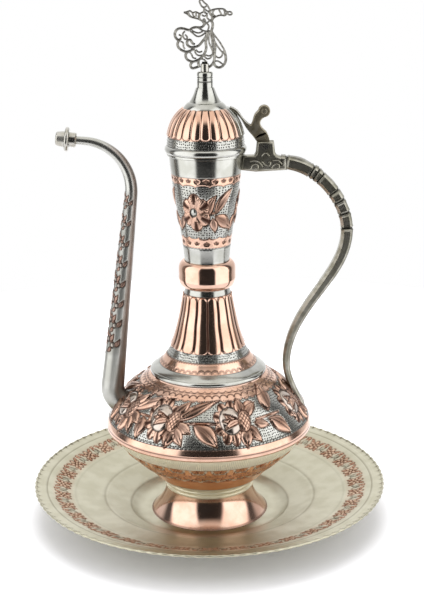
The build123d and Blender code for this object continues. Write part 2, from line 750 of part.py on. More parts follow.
def build():
    path = spout_path()
    bore = spout_solid(path, spout_wall)
    tube = spout_solid(path, 0) - bore
    spout = tube - body_envelope(solder_gap)
    upper_body = make_upper_body() - bore
    jug_pieces = {
        "foot_flare": make_foot(),
        "foot_collar": make_collar(),
        "lower_bowl": make_bowl(),
        "upper_body": upper_body,
        "lower_neck": make_lower_neck(),
        "neck_ring": make_neck_ring(),
        "upper_neck": make_upper_neck(),
        "spout_tube": spout,
        "spout_nozzle": make_nozzle(),
        "handle": make_handle(),
        "hinge_pin": make_pin(),
        "lid_dome": make_dome(),
        "lid_sleeve": make_sleeve(),
        "lid_cone": make_cone(),
        "lid_lever": make_lever(),
        "finial_sleeve": make_finial_sleeve(),
        "finial_spindle": make_spindle(),
        "finial_nut": make_nut(),
        "finial_figure": make_figure(),
        "spout_cap": make_cap(),
    }
    pieces = {name: Pos(0, 0, tray_wall) * shape for name, shape in jug_pieces.items()}
    pieces["tray_dish"] = make_tray()
    return pieces


os.makedirs("parts", exist_ok=True)
for name, shape in build().items():
    export_step(shape, f"parts/{name}.step")
    box = shape.bounding_box()
    print(f"{name}: {shape.volume:.0f} mm3, z {box.min.Z:.1f} to {box.max.Z:.1f}")
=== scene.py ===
# %% [markdown]
# # A tinned copper ewer in its basin
#
# The object is a tall lidded water jug (an ibrik) that stands in a wide shallow basin. Every wall is
# copper sheet, spun on a lathe, coated with tin, and then chased from outside: the smith raises flowers
# and leaves, polishes the tin off them so that the copper shows, and punches the ground full of dots.
#
# The solids are already placed by the CAD model, in metres. This script leaves their places alone and
# gives each wall its real surface. Most walls are built as a grid that follows the CAD section, with a
# height, a share of copper and a share of dark colour at each point of the grid. The dark colour is
# old dirt in the chasing, and painted shade in the flutes and some raised forms.

# %% Tools and the fixed frame
import math

import bmesh
import bpy
import numpy as np
from mathutils import Matrix, Vector


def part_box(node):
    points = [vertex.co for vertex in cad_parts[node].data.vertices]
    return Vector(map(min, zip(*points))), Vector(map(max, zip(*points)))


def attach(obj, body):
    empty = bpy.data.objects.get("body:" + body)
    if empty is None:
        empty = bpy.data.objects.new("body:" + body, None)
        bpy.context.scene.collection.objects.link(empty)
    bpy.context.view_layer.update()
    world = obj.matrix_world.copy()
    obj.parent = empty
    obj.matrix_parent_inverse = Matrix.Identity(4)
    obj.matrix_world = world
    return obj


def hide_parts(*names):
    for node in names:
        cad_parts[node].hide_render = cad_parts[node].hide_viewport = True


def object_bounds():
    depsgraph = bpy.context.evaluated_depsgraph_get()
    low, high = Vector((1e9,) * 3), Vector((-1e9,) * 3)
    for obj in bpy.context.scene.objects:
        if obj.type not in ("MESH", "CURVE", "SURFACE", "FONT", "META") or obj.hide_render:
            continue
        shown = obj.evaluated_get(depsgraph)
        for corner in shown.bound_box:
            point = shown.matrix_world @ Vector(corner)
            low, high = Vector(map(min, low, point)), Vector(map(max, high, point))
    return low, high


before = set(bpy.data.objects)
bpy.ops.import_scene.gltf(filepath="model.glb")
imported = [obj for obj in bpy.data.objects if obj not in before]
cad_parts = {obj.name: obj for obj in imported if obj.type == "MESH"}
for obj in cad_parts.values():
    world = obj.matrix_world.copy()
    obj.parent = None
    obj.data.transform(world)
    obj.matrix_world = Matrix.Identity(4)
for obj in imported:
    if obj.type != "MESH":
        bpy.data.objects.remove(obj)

MM = 0.001
FULL_TURN = 2 * math.pi
cad_box = [list(corner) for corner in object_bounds()]
scene = bpy.context.scene
print("CAD box in mm:", [[round(value / MM, 1) for value in corner] for corner in cad_box])

# %% [markdown]
# ## Small helpers
#
# Colours are written as sRGB hex values, the way a paint chart gives them, and Blender's shaders work in
# linear light, so one function turns the one into the other. `smooth` is a soft step from 0 to 1.

# %% Colour, soft steps and names
def linear(hex_colour):
    """An sRGB hex colour as linear RGBA."""
    values = [int(hex_colour[i:i + 2], 16) / 255 for i in (1, 3, 5)]
    return [v / 12.92 if v <= 0.04045 else ((v + 0.055) / 1.055) ** 2.4 for v in values] + [1.0]


def smooth(start, end, value):
    """0 before start and 1 after end, with a soft step between them. Start may lie after end."""
    share = np.clip((value - start) / (end - start), 0, 1)
    return share * share * (3 - 2 * share)


def wrapped(angle, period):
    """An angle brought to within half a period of zero."""
    return (angle + period / 2) % period - period / 2


# %% [markdown]
# ## The camera
#
# The camera stands in front of the jug, a little above its mouth, and looks down at it. A long lens
# keeps the jug's sides nearly parallel, as a catalogue picture does.

# %% Camera
camera_place = Vector((3.8, -1100.0, 514.4)) * MM
camera_pitch = math.radians(16.5465)
camera_roll = math.radians(-0.594)
lens_mm = 82.71

camera_data = bpy.data.cameras.new("camera")
camera_data.sensor_fit = "AUTO"
camera_data.sensor_width = 36.0
camera_data.lens = lens_mm
camera_data.clip_start = 0.05
camera = bpy.data.objects.new("camera", camera_data)
scene.collection.objects.link(camera)
looking = Matrix.Rotation(math.pi / 2 - camera_pitch, 4, "X") @ Matrix.Rotation(camera_roll, 4, "Z")
camera.matrix_world = Matrix.Translation(camera_place) @ looking
scene.camera = camera
scene.view_settings.view_transform = "Standard"
print("camera at", [round(value, 3) for value in camera_place], "lens", lens_mm)

# %% [markdown]
# ## Nodes
#
# Shader trees and geometry trees are both made of nodes that are linked to each other. This one
# function adds a node, sets its settings, and links or fills its inputs.

# %% One function for every node
def add(tree, kind, settings=None, **inputs):
    """Adds a node. Settings are the node's own properties; an input is a socket to link or a value.
    Inputs are named by their label in lower case with _ for a space, or as in_0, in_1 by position."""
    node = tree.nodes.new(kind)
    for key, value in (settings or {}).items():
        setattr(node, key, value)
    for key, value in inputs.items():
        if key.startswith("in_"):
            socket = node.inputs[int(key[3:])]
        else:
            socket = next(s for s in node.inputs if s.enabled and s.name.lower().replace(" ", "_") == key)
        if isinstance(value, bpy.types.NodeSocket):
            tree.links.new(value, socket)
        else:
            socket.default_value = value
    return node


def maths(tree, operation, first, second=0.0, third=0.0):
    """One step of arithmetic on single values."""
    node = add(tree, "ShaderNodeMath", {"operation": operation}, in_0=first, in_1=second, in_2=third)
    return node.outputs[0]


def mix_colours(tree, share, first, second):
    """The first colour or value, brought towards the second by a share."""
    node = add(tree, "ShaderNodeMix", {"data_type": "RGBA"}, in_0=share, in_6=first, in_7=second)
    return node.outputs[2]


def smoothstep(tree, value, start, end):
    """The soft step as a node: 0 at start and 1 at end."""
    node = add(tree, "ShaderNodeMapRange", {"interpolation_type": "SMOOTHSTEP"}, value=value)
    node.inputs["From Min"].default_value = min(start, end)
    node.inputs["From Max"].default_value = max(start, end)
    node.inputs["To Min"].default_value = 0.0 if start < end else 1.0
    node.inputs["To Max"].default_value = 1.0 if start < end else 0.0
    return node.outputs[0]


def ramp(tree, value, stops):
    """A colour ramp: stops are (place, grey or colour)."""
    node = add(tree, "ShaderNodeValToRGB", in_0=value)
    elements = node.color_ramp.elements
    elements.remove(elements[1])
    for place, colour in stops:
        element = elements[0] if place == stops[0][0] else elements.new(place)
        element.position = place
        element.color = colour if isinstance(colour, list) else [colour] * 3 + [1.0]
    return node.outputs[0]


# %% [markdown]
# ## The studio
#
# Polished metal has hardly a look of its own: it shows the room. The room here is a soft studio with a
# dark side behind the camera, one big bright panel at each side and a white wall behind the jug. It is
# painted on the world by compass direction, so it stands still while a camera goes round the jug.
# A camera that looks past the jug sees plain white.

# %% World: panels by compass direction
def make_world():
    world = bpy.data.worlds.new("studio")
    world.use_nodes = True
    tree = world.node_tree
    tree.nodes.clear()
    direction = add(tree, "ShaderNodeTexCoord").outputs["Generated"]
    x, y, z = add(tree, "ShaderNodeSeparateXYZ", in_0=direction).outputs
    bearing = maths(tree, "ARCTAN2", x, maths(tree, "MULTIPLY", y, -1.0))
    bearing = maths(tree, "DIVIDE", maths(tree, "ABSOLUTE", bearing), math.pi)
    round_about = ramp(tree, bearing, (
        (0.00, 0.035), (0.165, 0.04), (0.205, 1.95), (0.525, 2.05), (0.570, 0.10), (0.625, 0.12),
        (0.68, 0.80), (0.84, 1.10), (1.00, 1.45)))
    rise = maths(tree, "DIVIDE", maths(tree, "ARCSINE", z), math.pi / 2)
    overhead = smoothstep(tree, rise, 0.50, 0.72)
    above = mix_colours(tree, overhead, round_about, [1.35, 1.33, 1.28, 1.0])
    below = smoothstep(tree, rise, -0.30, -0.55)
    around = mix_colours(tree, below, above, [0.75, 0.70, 0.60, 1.0])
    seen = add(tree, "ShaderNodeLightPath").outputs["Is Camera Ray"]
    colour = mix_colours(tree, seen, around, [1.0, 1.0, 1.0, 1.0])
    background = add(tree, "ShaderNodeBackground", color=colour)
    add(tree, "ShaderNodeOutputWorld", surface=background.outputs[0])
    scene.world = world


make_world()

# %% [markdown]
# The floor is a matt white disc, just wide enough to take the jug's shadow. A wide lamp above and behind
# the jug lights the floor and drops the soft shadow in front of the basin. The lamp is hidden from
# reflections, so that the metal shows only the panels.

# %% Floor and lamp
def make_floor():
    mesh = bpy.data.meshes.new("floor")
    shape = bmesh.new()
    bmesh.ops.create_circle(shape, cap_ends=True, segments=96, radius=0.62)
    shape.to_mesh(mesh)
    shape.free()
    mesh.transform(Matrix.Translation((0, 0.12, cad_box[0][2] - 0.02 * MM)))
    floor = bpy.data.objects.new("floor", mesh)
    scene.collection.objects.link(floor)
    paper = bpy.data.materials.new("matt_white_paper")
    paper.use_nodes = True
    shader = paper.node_tree.nodes["Principled BSDF"]
    shader.inputs["Base Color"].default_value = linear("#F0F0F4")
    shader.inputs["Roughness"].default_value = 0.9
    shader.inputs["Specular IOR Level"].default_value = 0.1
    # The paper glows a little, so that the shadow on it stays pale.
    shader.inputs["Emission Color"].default_value = linear("#FFFFFF")
    shader.inputs["Emission Strength"].default_value = 0.09
    mesh.materials.append(paper)


def make_lamp(name, place, power, size):
    data = bpy.data.lights.new(name, "AREA")
    data.energy = power
    data.shape = "DISK"
    data.size = size
    lamp = bpy.data.objects.new(name, data)
    scene.collection.objects.link(lamp)
    aim = Vector((0, 0, 0.05)) - Vector(place)
    lamp.matrix_world = Matrix.Translation(place) @ aim.to_track_quat("-Z", "Y").to_matrix().to_4x4()
    lamp.visible_glossy = False


make_floor()
make_lamp("top_lamp", (0.0, 0.50, 1.5), 14.0, 1.3)

# %% [markdown]
# ## Tinned and chased copper
#
# Two metals share one surface. Tin was wiped on hot over the whole wall: it is nearly white, a little
# soft, and shows broad reflections. Where the smith polished it off, bare copper shows pink to orange.
# Soot and old polish stay in each groove and punched dot as a dark line. The same dark layer also holds
# painted shade in the flutes and in some raised forms. Each point of the mesh says how much copper,
# dark colour and punching it has, and this shader turns that into a finish.
#
# The punched dots are about 2.1 mm apart and too many to model, so they come from a cell pattern on the
# wall's own map, which is in millimetres. All the metals here are smooth: a polished wall has a roughness
# near 0.1, a satin one 0.2 to 0.4.

# %% Metals
dot_pitch = 2.1
dot_depth = 0.07


def chased_metal(name, tin, copper, dirt_and_shade, tin_rough=0.14, copper_rough=0.12, wave=0.01, metallic=1.0):
    """Metal on which three attributes say where copper, dark colour and punched dots lie. The dark colour
    is dirt in the chasing and painted shade. Each colour is a pair, for the clouds of a worn surface, and
    wave is the depth of its hand-made unevenness in mm."""
    material = bpy.data.materials.new(name)
    material.use_nodes = True
    tree = material.node_tree
    shader = tree.nodes["Principled BSDF"]
    place = add(tree, "ShaderNodeTexCoord").outputs["Object"]
    wall = add(tree, "ShaderNodeUVMap", {"uv_map": "wall_mm"}).outputs[0]

    def level(attribute):
        return add(tree, "ShaderNodeAttribute", {"attribute_name": attribute}).outputs["Fac"]

    bare, patina_and_shade, punched = level("copper"), level("patina_and_shade"), level("punched")
    cells = add(tree, "ShaderNodeTexVoronoi", {"voronoi_dimensions": "2D"},
                vector=wall, scale=1 / dot_pitch, randomness=0.45)
    dot = maths(tree, "MULTIPLY", smoothstep(tree, cells.outputs["Distance"], 0.33, 0.20), punched)
    clouds = add(tree, "ShaderNodeTexNoise", vector=place, scale=1 / (14 * MM), detail=4.0)
    fine = add(tree, "ShaderNodeTexNoise", vector=place, scale=1 / (1.1 * MM), detail=3.0)
    tint = smoothstep(tree, clouds.outputs["Fac"], 0.35, 0.65)
    tin_colour = mix_colours(tree, tint, linear(tin[0]), linear(tin[1]))
    copper_colour = mix_colours(tree, tint, linear(copper[0]), linear(copper[1]))
    colour = mix_colours(tree, bare, tin_colour, copper_colour)
    dark_colour = mix_colours(tree, bare, linear(dirt_and_shade[0]), linear(dirt_and_shade[1]))
    dark = maths(tree, "MAXIMUM", patina_and_shade, dot)
    colour = mix_colours(tree, dark, colour, dark_colour)
    rough = mix_colours(tree, bare, [tin_rough] * 3 + [1.0], [copper_rough] * 3 + [1.0])
    rough = maths(tree, "ADD", rough, maths(tree, "MULTIPLY", tint, 0.05))
    rough = maths(tree, "ADD", rough, maths(tree, "MULTIPLY", dark, 0.30))
    swell = add(tree, "ShaderNodeTexNoise", vector=place, scale=1 / (9 * MM), detail=2.0)
    height = maths(tree, "MULTIPLY", swell.outputs["Fac"], wave * MM)
    height = maths(tree, "ADD", height, maths(tree, "MULTIPLY", fine.outputs["Fac"], 0.002 * MM))
    height = maths(tree, "ADD", height, maths(tree, "MULTIPLY", dot, -dot_depth * MM))
    bump = add(tree, "ShaderNodeBump", strength=1.0, distance=1.0, height=height)
    tree.links.new(colour, shader.inputs["Base Color"])
    tree.links.new(rough, shader.inputs["Roughness"])
    tree.links.new(bump.outputs[0], shader.inputs["Normal"])
    shader.inputs["Metallic"].default_value = metallic
    return material


# Tin over copper: near-white metal, copper where it is polished bare, soot in the chasing, and the same dark
# colours for painted shade.
TIN, COPPER, DIRT_AND_SHADE = ("#B6B6B1", "#A8A8A1"), ("#DDB9A5", "#CFA892"), ("#1C1B17", "#2E130B")
tinned_copper = chased_metal("tinned_copper_chased", TIN, COPPER, DIRT_AND_SHADE, wave=0.012)
# Polished copper: no tin left, the lathe's rings and the polish only.
polished_copper = chased_metal("polished_copper", TIN, ("#DAB8A5", "#CFA792"), DIRT_AND_SHADE, copper_rough=0.08)
# The basin's tin has yellowed with lacquer and is satin from fine scratches.
lacquered_tin = chased_metal("lacquered_tin_chased", ("#BBB7A3", "#B5B19C"), ("#D0A98F", "#BE967C"),
                             ("#5A5040", "#6A3A22"), tin_rough=0.34, copper_rough=0.40)
# The bowl under the seam was tinned thin, and never buffed: it keeps a warm, olive cast and a milky haze
# that scatters the light, which a lower metallic value stands for.
warm_tin = chased_metal("thin_tin_chased", ("#F2EBD2", "#E9E1C4"), ("#F0B17C", "#E6A06A"),
                        ("#4B4430", "#6A2A12"), tin_rough=0.22, copper_rough=0.20, metallic=0.25)
# The spout was tinned as a tube and rubbed down: satin, with soft stripes.
spout_tin = chased_metal("spout_tin_chased", TIN, ("#B98E7A", "#A67A66"), DIRT_AND_SHADE, tin_rough=0.27,
                         copper_rough=0.27, wave=0.012)
print("metals:", [m.name for m in bpy.data.materials])

# %% [markdown]
# ## Walls that follow the CAD section
#
# A spun piece is a section turned round the axis. The CAD solid holds that section along its seam, the
# line where the angle is zero, so it is read from there: no size is written twice. The new wall has the
# same section with many more points, closer together where there is chasing.

# %% Reading a section from a CAD solid
def section_line(node):
    """The closed section of a turned CAD solid as (radius, height) in mm, outer side going up."""
    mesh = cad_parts[node].data
    places = np.zeros(len(mesh.vertices) * 3)
    mesh.vertices.foreach_get("co", places)
    places = np.round(places.reshape(-1, 3) / MM, 3)
    on_seam = (np.abs(places[:, 1]) < 0.002) & (places[:, 0] >= 0)
    neighbours = {}
    for edge in mesh.edges:
        a, b = edge.vertices
        if on_seam[a] and on_seam[b]:
            first, second = tuple(places[a][[0, 2]]), tuple(places[b][[0, 2]])
            if first != second:
                neighbours.setdefault(first, set()).add(second)
                neighbours.setdefault(second, set()).add(first)
    ends = [point for point, others in neighbours.items() if len(others) == 1]
    start = min(ends or neighbours, key=lambda point: (point[1], point[0]))
    line, previous = [start], None
    while True:
        onward = [p for p in neighbours[line[-1]] if p != previous and (p not in line or p == start)]
        if not onward or (onward[0] == start and len(line) > 2):
            break
        previous = line[-1]
        line.append(next(p for p in onward if p != start or len(line) > 2))
    if ends:
        line = [(0.0, line[0][1])] + line + [(0.0, line[-1][1])]
    line = np.array(line)
    r, z = line.T
    area = np.sum(r * np.roll(z, -1) - np.roll(r, -1) * z)
    return (line if area > 0 else line[::-1]), not ends


def corner_angles(line, closed):
    """How far the line turns at each point, in degrees. The ends of an open line count as corners."""
    back = line - np.roll(line, 1, axis=0)
    ahead = np.roll(line, -1, axis=0) - line
    cross = back[:, 0] * ahead[:, 1] - back[:, 1] * ahead[:, 0]
    turn = np.abs(np.degrees(np.arctan2(cross, (back * ahead).sum(1))))
    if not closed:
        turn[[0, -1]] = 180
    return turn


def resampled(line, closed, spacing, corner=28.0):
    """The line with a point every spacing(radius, out, up) mm, smooth between its corners. out and up
    are the outward direction there. Beside a long straight run the curve keeps the run's direction."""
    sharp = corner_angles(line, closed) > corner
    if closed:
        line, sharp = np.vstack([line, line[:1]]), np.append(sharp, sharp[0])
    steps = np.hypot(*np.diff(line, axis=0).T)
    along = np.concatenate([[0], np.cumsum(steps)])
    slope = np.diff(line, axis=0) / steps[:, None]
    before, after = np.vstack([slope[:1], slope]), np.vstack([slope, slope[-1:]])
    if closed and not sharp[0]:
        before[0], after[-1] = slope[-1], slope[0]
    run_in, run_out = np.concatenate([[1], steps])[:, None], np.concatenate([steps, [1]])[:, None]
    share = np.where(run_in > 3 * run_out, 1.0, run_out / (run_in + run_out))
    share = np.where(run_out > 3 * run_in, 0.0, share)
    even = before * share + after * (1 - share)
    leave, arrive = np.where(sharp[:, None], after, even)[:-1], np.where(sharp[:, None], before, even)[1:]
    stops = [0.0]
    for i in range(len(steps)):
        pitch = spacing((line[i, 0] + line[i + 1, 0]) / 2, slope[i, 1], -slope[i, 0])
        last = sharp[i + 1] or i == len(steps) - 1
        while stops[-1] + pitch * (1.5 if last else 1.0) < along[i + 1]:
            stops.append(stops[-1] + pitch)
        if last:
            stops.append(along[i + 1])
    stops = np.array(stops)
    piece = np.clip(np.searchsorted(along, stops, side="right") - 1, 0, len(steps) - 1)
    t = ((stops - along[piece]) / steps[piece])[:, None]
    h = steps[piece][:, None]
    points = ((2 * t**3 - 3 * t**2 + 1) * line[piece] + (t**3 - 2 * t**2 + t) * h * leave[piece]
              + (3 * t**2 - 2 * t**3) * line[piece + 1] + (t**3 - t**2) * h * arrive[piece])
    return stops, points


# %% [markdown]
# A `Wall` is a grid of points with their outward directions. Raised work is laid on it form by form, as
# the smith does: each new form covers what lies under it, and gets a sunk outline that holds the dirt.

# %% The wall and its relief
class Wall:
    """A grid surface in mm. Rows go along it and columns go round it."""

    def __init__(self, along, radius, places, normals, turn, closed_rows):
        self.along, self.radius, self.turn = along, radius, turn
        self.places, self.normals, self.closed_rows = places, normals, closed_rows
        shape = places.shape[:2]
        self.lift, self.copper, self.patina_and_shade, self.punched = (np.zeros(shape) for _ in range(4))

    def local(self, turn, along, copies=1):
        """Millimetres to the right of and above a place on the wall, which is repeated round it."""
        right = wrapped(self.turn - turn, FULL_TURN / copies)[None, :] * self.radius[:, None]
        up = np.broadcast_to((self.along - along)[:, None], right.shape)
        return right, up

    def paint(self, layer, value, share):
        """Brings a layer (copper, patina_and_shade or punched) towards a value where share is 1."""
        setattr(self, layer, getattr(self, layer) * (1 - share) + value * share)

    def band(self, low, high, soft=0.4):
        """1 between two places along the wall."""
        share = smooth(low - soft, low + soft, self.along) * smooth(high + soft, high - soft, self.along)
        return np.broadcast_to(share[:, None], self.lift.shape)

    def line(self, distance, width, depth=0.2, dark=0.9):
        """A chased line where distance, in mm, is near zero."""
        share = np.exp(-(distance / width)**2)
        self.lift -= depth * share
        self.patina_and_shade = np.maximum(self.patina_and_shade, dark * share)

    def ring(self, along, width=0.3, depth=0.15, dark=0.9):
        """A chased line right round the wall."""
        self.line((self.along - along)[:, None] + 0 * self.lift, width, depth, dark)

    def form(self, outside, height, copper=1.0, outline=0.55, dark=0.95, sunk=0.35):
        """One raised form. outside is the distance outside its outline in mm, negative inside."""
        inside = smooth(0.3, -0.3, outside)
        self.lift = self.lift * (1 - inside) + height * inside
        self.patina_and_shade *= 1 - inside
        self.punched *= 1 - inside
        self.paint("copper", copper, smooth(0.9, 0.1, outside))
        self.line(outside - 0.15, outline, sunk, dark)


def spun_wall(node, columns, spacing, start_turn=0.0):
    """A wall with the section of a turned CAD node, its rows spaced by the rule spacing."""
    line, closed = section_line(node)
    along, section = resampled(line, closed, spacing)
    slope = np.gradient(section, axis=0)
    slope /= np.maximum(np.hypot(*slope.T), 1e-9)[:, None]
    if closed:
        along, section, slope = along[:-1], section[:-1], slope[:-1]
    turn = start_turn + np.arange(columns) * FULL_TURN / columns
    cos, sin = np.cos(turn)[None, :], np.sin(turn)[None, :]
    r, z = section[:, 0][:, None], section[:, 1][:, None]
    places = np.stack([r * cos, r * sin, z + 0 * cos], axis=2)
    out_r, out_z = slope[:, 1][:, None], -slope[:, 0][:, None]
    normals = np.stack([out_r * cos, out_r * sin, out_z + 0 * cos], axis=2)
    wall = Wall(along, section[:, 0], places, normals, turn, closed)
    wall.section, wall.node = section, node
    return wall


def at_height(wall, height):
    """How far along the section the wall's outer side reaches a height, or its nearest point to it."""
    r, z = wall.section.T
    outer = np.gradient(z) > 0 if wall.closed_rows or z[-1] > z[0] else np.gradient(r) < 0
    span = np.nonzero(outer)[0]
    nearest = span[np.lexsort((-r[span], np.round(np.abs(z[span] - height), 2)))[0]]
    steps = [i for i in (nearest - 1, nearest) if 0 <= i < len(z) - 1 and z[i] <= height <= z[i + 1]]
    if not steps:
        return float(wall.along[nearest])
    return float(np.interp(height, z[steps[0]:steps[0] + 2], wall.along[steps[0]:steps[0] + 2]))


def at_radius(wall, radius):
    """How far along the section the wall's upper side reaches a radius."""
    r, z = wall.section.T
    hits = np.nonzero((r[:-1] >= radius) & (r[1:] < radius))[0]
    row = max(hits, key=lambda i: z[i])
    return float(np.interp(radius, r[row:row + 2][::-1], wall.along[row:row + 2][::-1]))


# %% From wall to mesh
def mesh_from(wall, name, map_radius=None):
    """The wall as a closed mesh in metres, with its layers as attributes and its map in mm."""
    rows, columns = wall.lift.shape
    points = (wall.places + wall.normals * wall.lift[:, :, None]) * MM
    index = np.arange(rows * columns).reshape(rows, columns)
    onward = np.roll(index, -1, axis=1)
    pairs = [(i, (i + 1) % rows) for i in range(rows if wall.closed_rows else rows - 1)]
    low, high = np.array(pairs).T
    faces = np.stack([index[low], onward[low], onward[high], index[high]], axis=2).reshape(-1, 4)
    reference = map_radius or float(wall.radius.max())
    right = np.arange(columns + 1) * FULL_TURN / columns * reference
    along = np.append(wall.along, wall.along[-1] + (1.0 if wall.closed_rows else 0.0))
    step = np.where(high == 0, rows, high)
    corner_u = np.stack([right[:-1], right[1:], right[1:], right[:-1]], axis=1)
    corner_u = np.broadcast_to(corner_u[None], (len(low), columns, 4))
    corner_v = np.stack([along[low], along[low], along[step], along[step]], axis=1)
    corner_v = np.broadcast_to(corner_v[:, None], (len(low), columns, 4))
    mesh = bpy.data.meshes.new(name)
    mesh.from_pydata(points.reshape(-1, 3).tolist(), [], faces.tolist())
    layer = mesh.uv_layers.new(name="wall_mm")
    layer.data.foreach_set("uv", np.stack([corner_u, corner_v], axis=3).astype(np.float32).ravel())
    for attribute in ("copper", "patina_and_shade", "punched"):
        values = np.clip(getattr(wall, attribute), 0, 1).astype(np.float32)
        mesh.attributes.new(attribute, "FLOAT", "POINT").data.foreach_set("value", values.ravel())
    along_all = np.broadcast_to(wall.along[:, None] * MM, wall.lift.shape).astype(np.float32)
    mesh.attributes.new("along", "FLOAT", "POINT").data.foreach_set("value", along_all.ravel())
    share = np.broadcast_to((wall.turn / FULL_TURN)[None, :], wall.lift.shape).astype(np.float32)
    mesh.attributes.new("turn", "FLOAT", "POINT").data.foreach_set("value", share.ravel())
    if not wall.closed_rows:
        close_ends(mesh)
    return mesh


def close_ends(mesh):
    """Merges the points of a row on the axis into one, or closes an open end with a face."""
    shape = bmesh.new()
    shape.from_mesh(mesh)
    bmesh.ops.remove_doubles(shape, verts=shape.verts, dist=1e-7)
    holes = [edge for edge in shape.edges if edge.is_boundary]
    if holes:
        bmesh.ops.holes_fill(shape, edges=holes)
    shape.to_mesh(mesh)
    shape.free()


crease = 35.0


def finish_piece(name, mesh, body, materials, replaced=()):
    """Makes the object, hangs it on the empty of the body it rides on, and hides the CAD nodes it stands for.
    """
    piece = bpy.data.objects.new(name, mesh)
    scene.collection.objects.link(piece)
    mesh.materials.clear()
    for material in materials:
        mesh.materials.append(material)
    mesh.polygons.foreach_set("use_smooth", [True] * len(mesh.polygons))
    mesh.set_sharp_from_angle(angle=math.radians(crease))
    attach(piece, body)
    if replaced:
        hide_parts(*replaced)
    places = np.array([vertex.co for vertex in mesh.vertices])
    size = np.round(np.ptp(places, axis=0) / MM, 1).tolist()
    triangles = sum(len(polygon.vertices) - 2 for polygon in mesh.polygons)
    print(f"{name}: {triangles} triangles, {size} mm")
    return piece


# %% [markdown]
# ## The smith's forms
#
# The flowers and sprays are made of four forms: a leaf with a rib, a dome, a frilled ring of petals and
# a bud with crossed cuts. Each is a distance to its outline and a height inside it.

# %% Leaf, dome, frill and bud
def leaf(wall, x, y, lean, length, width, rise=1.1, bend=0.0, cuts=1, blunt=1.0):
    """A pointed leaf from its foot at (x, y) = 0, leaning so many degrees up from the right. cuts is
    the number of lines along each half."""
    cos, sin = math.cos(math.radians(lean)), math.sin(math.radians(lean))
    t = (x * cos + y * sin) / length
    across = -x * sin + y * cos - bend * 4 * np.clip(t, 0, 1) * (1 - np.clip(t, 0, 1)) * length
    half = 0.5 * width * np.sin(math.pi * np.clip(t, 0, 1)**0.85)**blunt
    outside = np.maximum(np.abs(across) - half, np.maximum(-t, t - 1) * length)
    q = np.clip(np.abs(across) / np.maximum(half, 0.05), 0, 1)
    height = rise * (1 - q**2)**0.6 - 0.45 * rise * np.exp(-(across / 0.6)**2)
    wall.form(outside, height)
    # The middle of each leaf is darkened towards its rib: old polish held there, and painted shade for the
    # raised leaf's darker reflection.
    hollow = 0.72 * smooth(0.9, 0.25, q) * smooth(0.0, -0.4, outside) * smooth(1.0, 0.4, t)
    wall.patina_and_shade = np.maximum(wall.patina_and_shade, hollow if cuts else 0.5 * hollow)
    wall.line(np.where((t > 0.05) & (t < 0.9), across, 9.0), 0.35, 0.0, 0.7 if cuts else 0.4)
    for cut in range(1, cuts + 1):
        beside = (q - cut / (cuts + 1)) * half
        wall.line(np.where((t > 0.12) & (t < 0.8) & (outside < 0), beside, 9.0), 0.22, 0.12, 0.5)


def dome(wall, x, y, wide, tall, rise, copper=1.0):
    """A plain swelling, round or oval."""
    share = np.sqrt((x / wide)**2 + (y / tall)**2)
    height = rise * np.sqrt(np.clip(1 - share**2, 0, 1))
    wall.form((share - 1) * min(wide, tall), height, copper)


def frill(wall, x, y, wide, tall, lobes, rise=0.8, depth=0.16, hatch=56, twist=0.0):
    """A ring of ruffled petals: its edge swings in between the lobes, with fine cuts to the middle."""
    angle = np.arctan2(y / tall, x / wide) + twist
    share = np.sqrt((x / wide)**2 + (y / tall)**2)
    lobe = np.abs(np.cos(lobes * angle / 2))
    edge = 1 - depth * (1 - lobe**0.7)
    size = min(wide, tall)
    height = rise * (0.55 + 0.45 * np.sin(math.pi * np.clip(share, 0, 1)**1.6)) * (0.5 + 0.5 * lobe**0.5)
    height += 0.14 * np.cos(hatch * angle) * smooth(0.35, 0.6, share)
    wall.form((share - edge) * size, height)
    between = np.where((share < edge) & (share > 0.45), 2.2 * (1 - lobe), 9.0)
    wall.line(between, 0.36, 0.3, 0.95)
    veins = smooth(0.95, 0.5, share) * (0.5 + 0.5 * np.cos(hatch * angle)) * (share < edge)
    wall.patina_and_shade = np.maximum(wall.patina_and_shade, 0.6 * veins)


def bud(wall, x, y, wide, tall, rise=1.3):
    """A bud cut crosswise, like a cone."""
    dome(wall, x, y, wide, tall, rise)
    inside = smooth(1.0, 0.8, np.sqrt((x / wide)**2 + (y / tall)**2))
    for slope in (1.35, -1.35):
        cut = wrapped(y - slope * x, 4.4) / math.hypot(1, slope)
        share = inside * np.exp(-(cut / 0.42)**2)
        wall.lift -= 0.2 * share
        wall.patina_and_shade = np.maximum(wall.patina_and_shade, share)


def stem(wall, x, y, lean, length, thick=1.1, bend=0.0):
    """A bare stalk."""
    cos, sin = math.cos(math.radians(lean)), math.sin(math.radians(lean))
    t = (x * cos + y * sin) / length
    across = -x * sin + y * cos - bend * 4 * np.clip(t, 0, 1) * (1 - np.clip(t, 0, 1)) * length
    outside = np.maximum(np.abs(across) - thick / 2, np.maximum(-t, t - 1) * length)
    wall.form(outside, 0.6 * np.sqrt(np.clip(1 - (2 * across / thick)**2, 0, 1)), outline=0.4)


def above_arches(wall, along, copies, rise, side=1):
    """How far each point lies above a border of arches with their tops at along. side -1 turns it over."""
    x, y = wall.local(0.0, along, copies)
    share = x / (math.pi * wall.radius / copies)[:, None]
    return y * side + rise * (1 - np.sqrt(np.clip(1 - share**2, 0, 1)))


def scallops(wall, along, copies, radius, upward=True, width=0.32, dark=0.9):
    """A row of arches that touch at their feet."""
    x, y = wall.local(0.0, along, copies)
    y = y if upward else -y
    ring = np.hypot(x, y) - radius
    wall.line(np.where(y > -0.4, ring, 9.0), width, 0.18, dark)


# %% Which rows are fine
foot_z = float(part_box("foot_flare")[0][2]) / MM


def fine_rows(fine, coarse=4.0):
    """A rule for the space between rows: fine where the wall faces outwards and coarse inside."""
    def rule(_radius, out, _up):
        return fine if out > 0.05 else coarse
    return rule


# %% [markdown]
# ## The body
#
# The upper body carries eight big flowers in a silver ground full of punched dots. Each flower has a
# smooth dome, a ruffled ring round it, a bud at its right, and leaves that reach to the next flower.

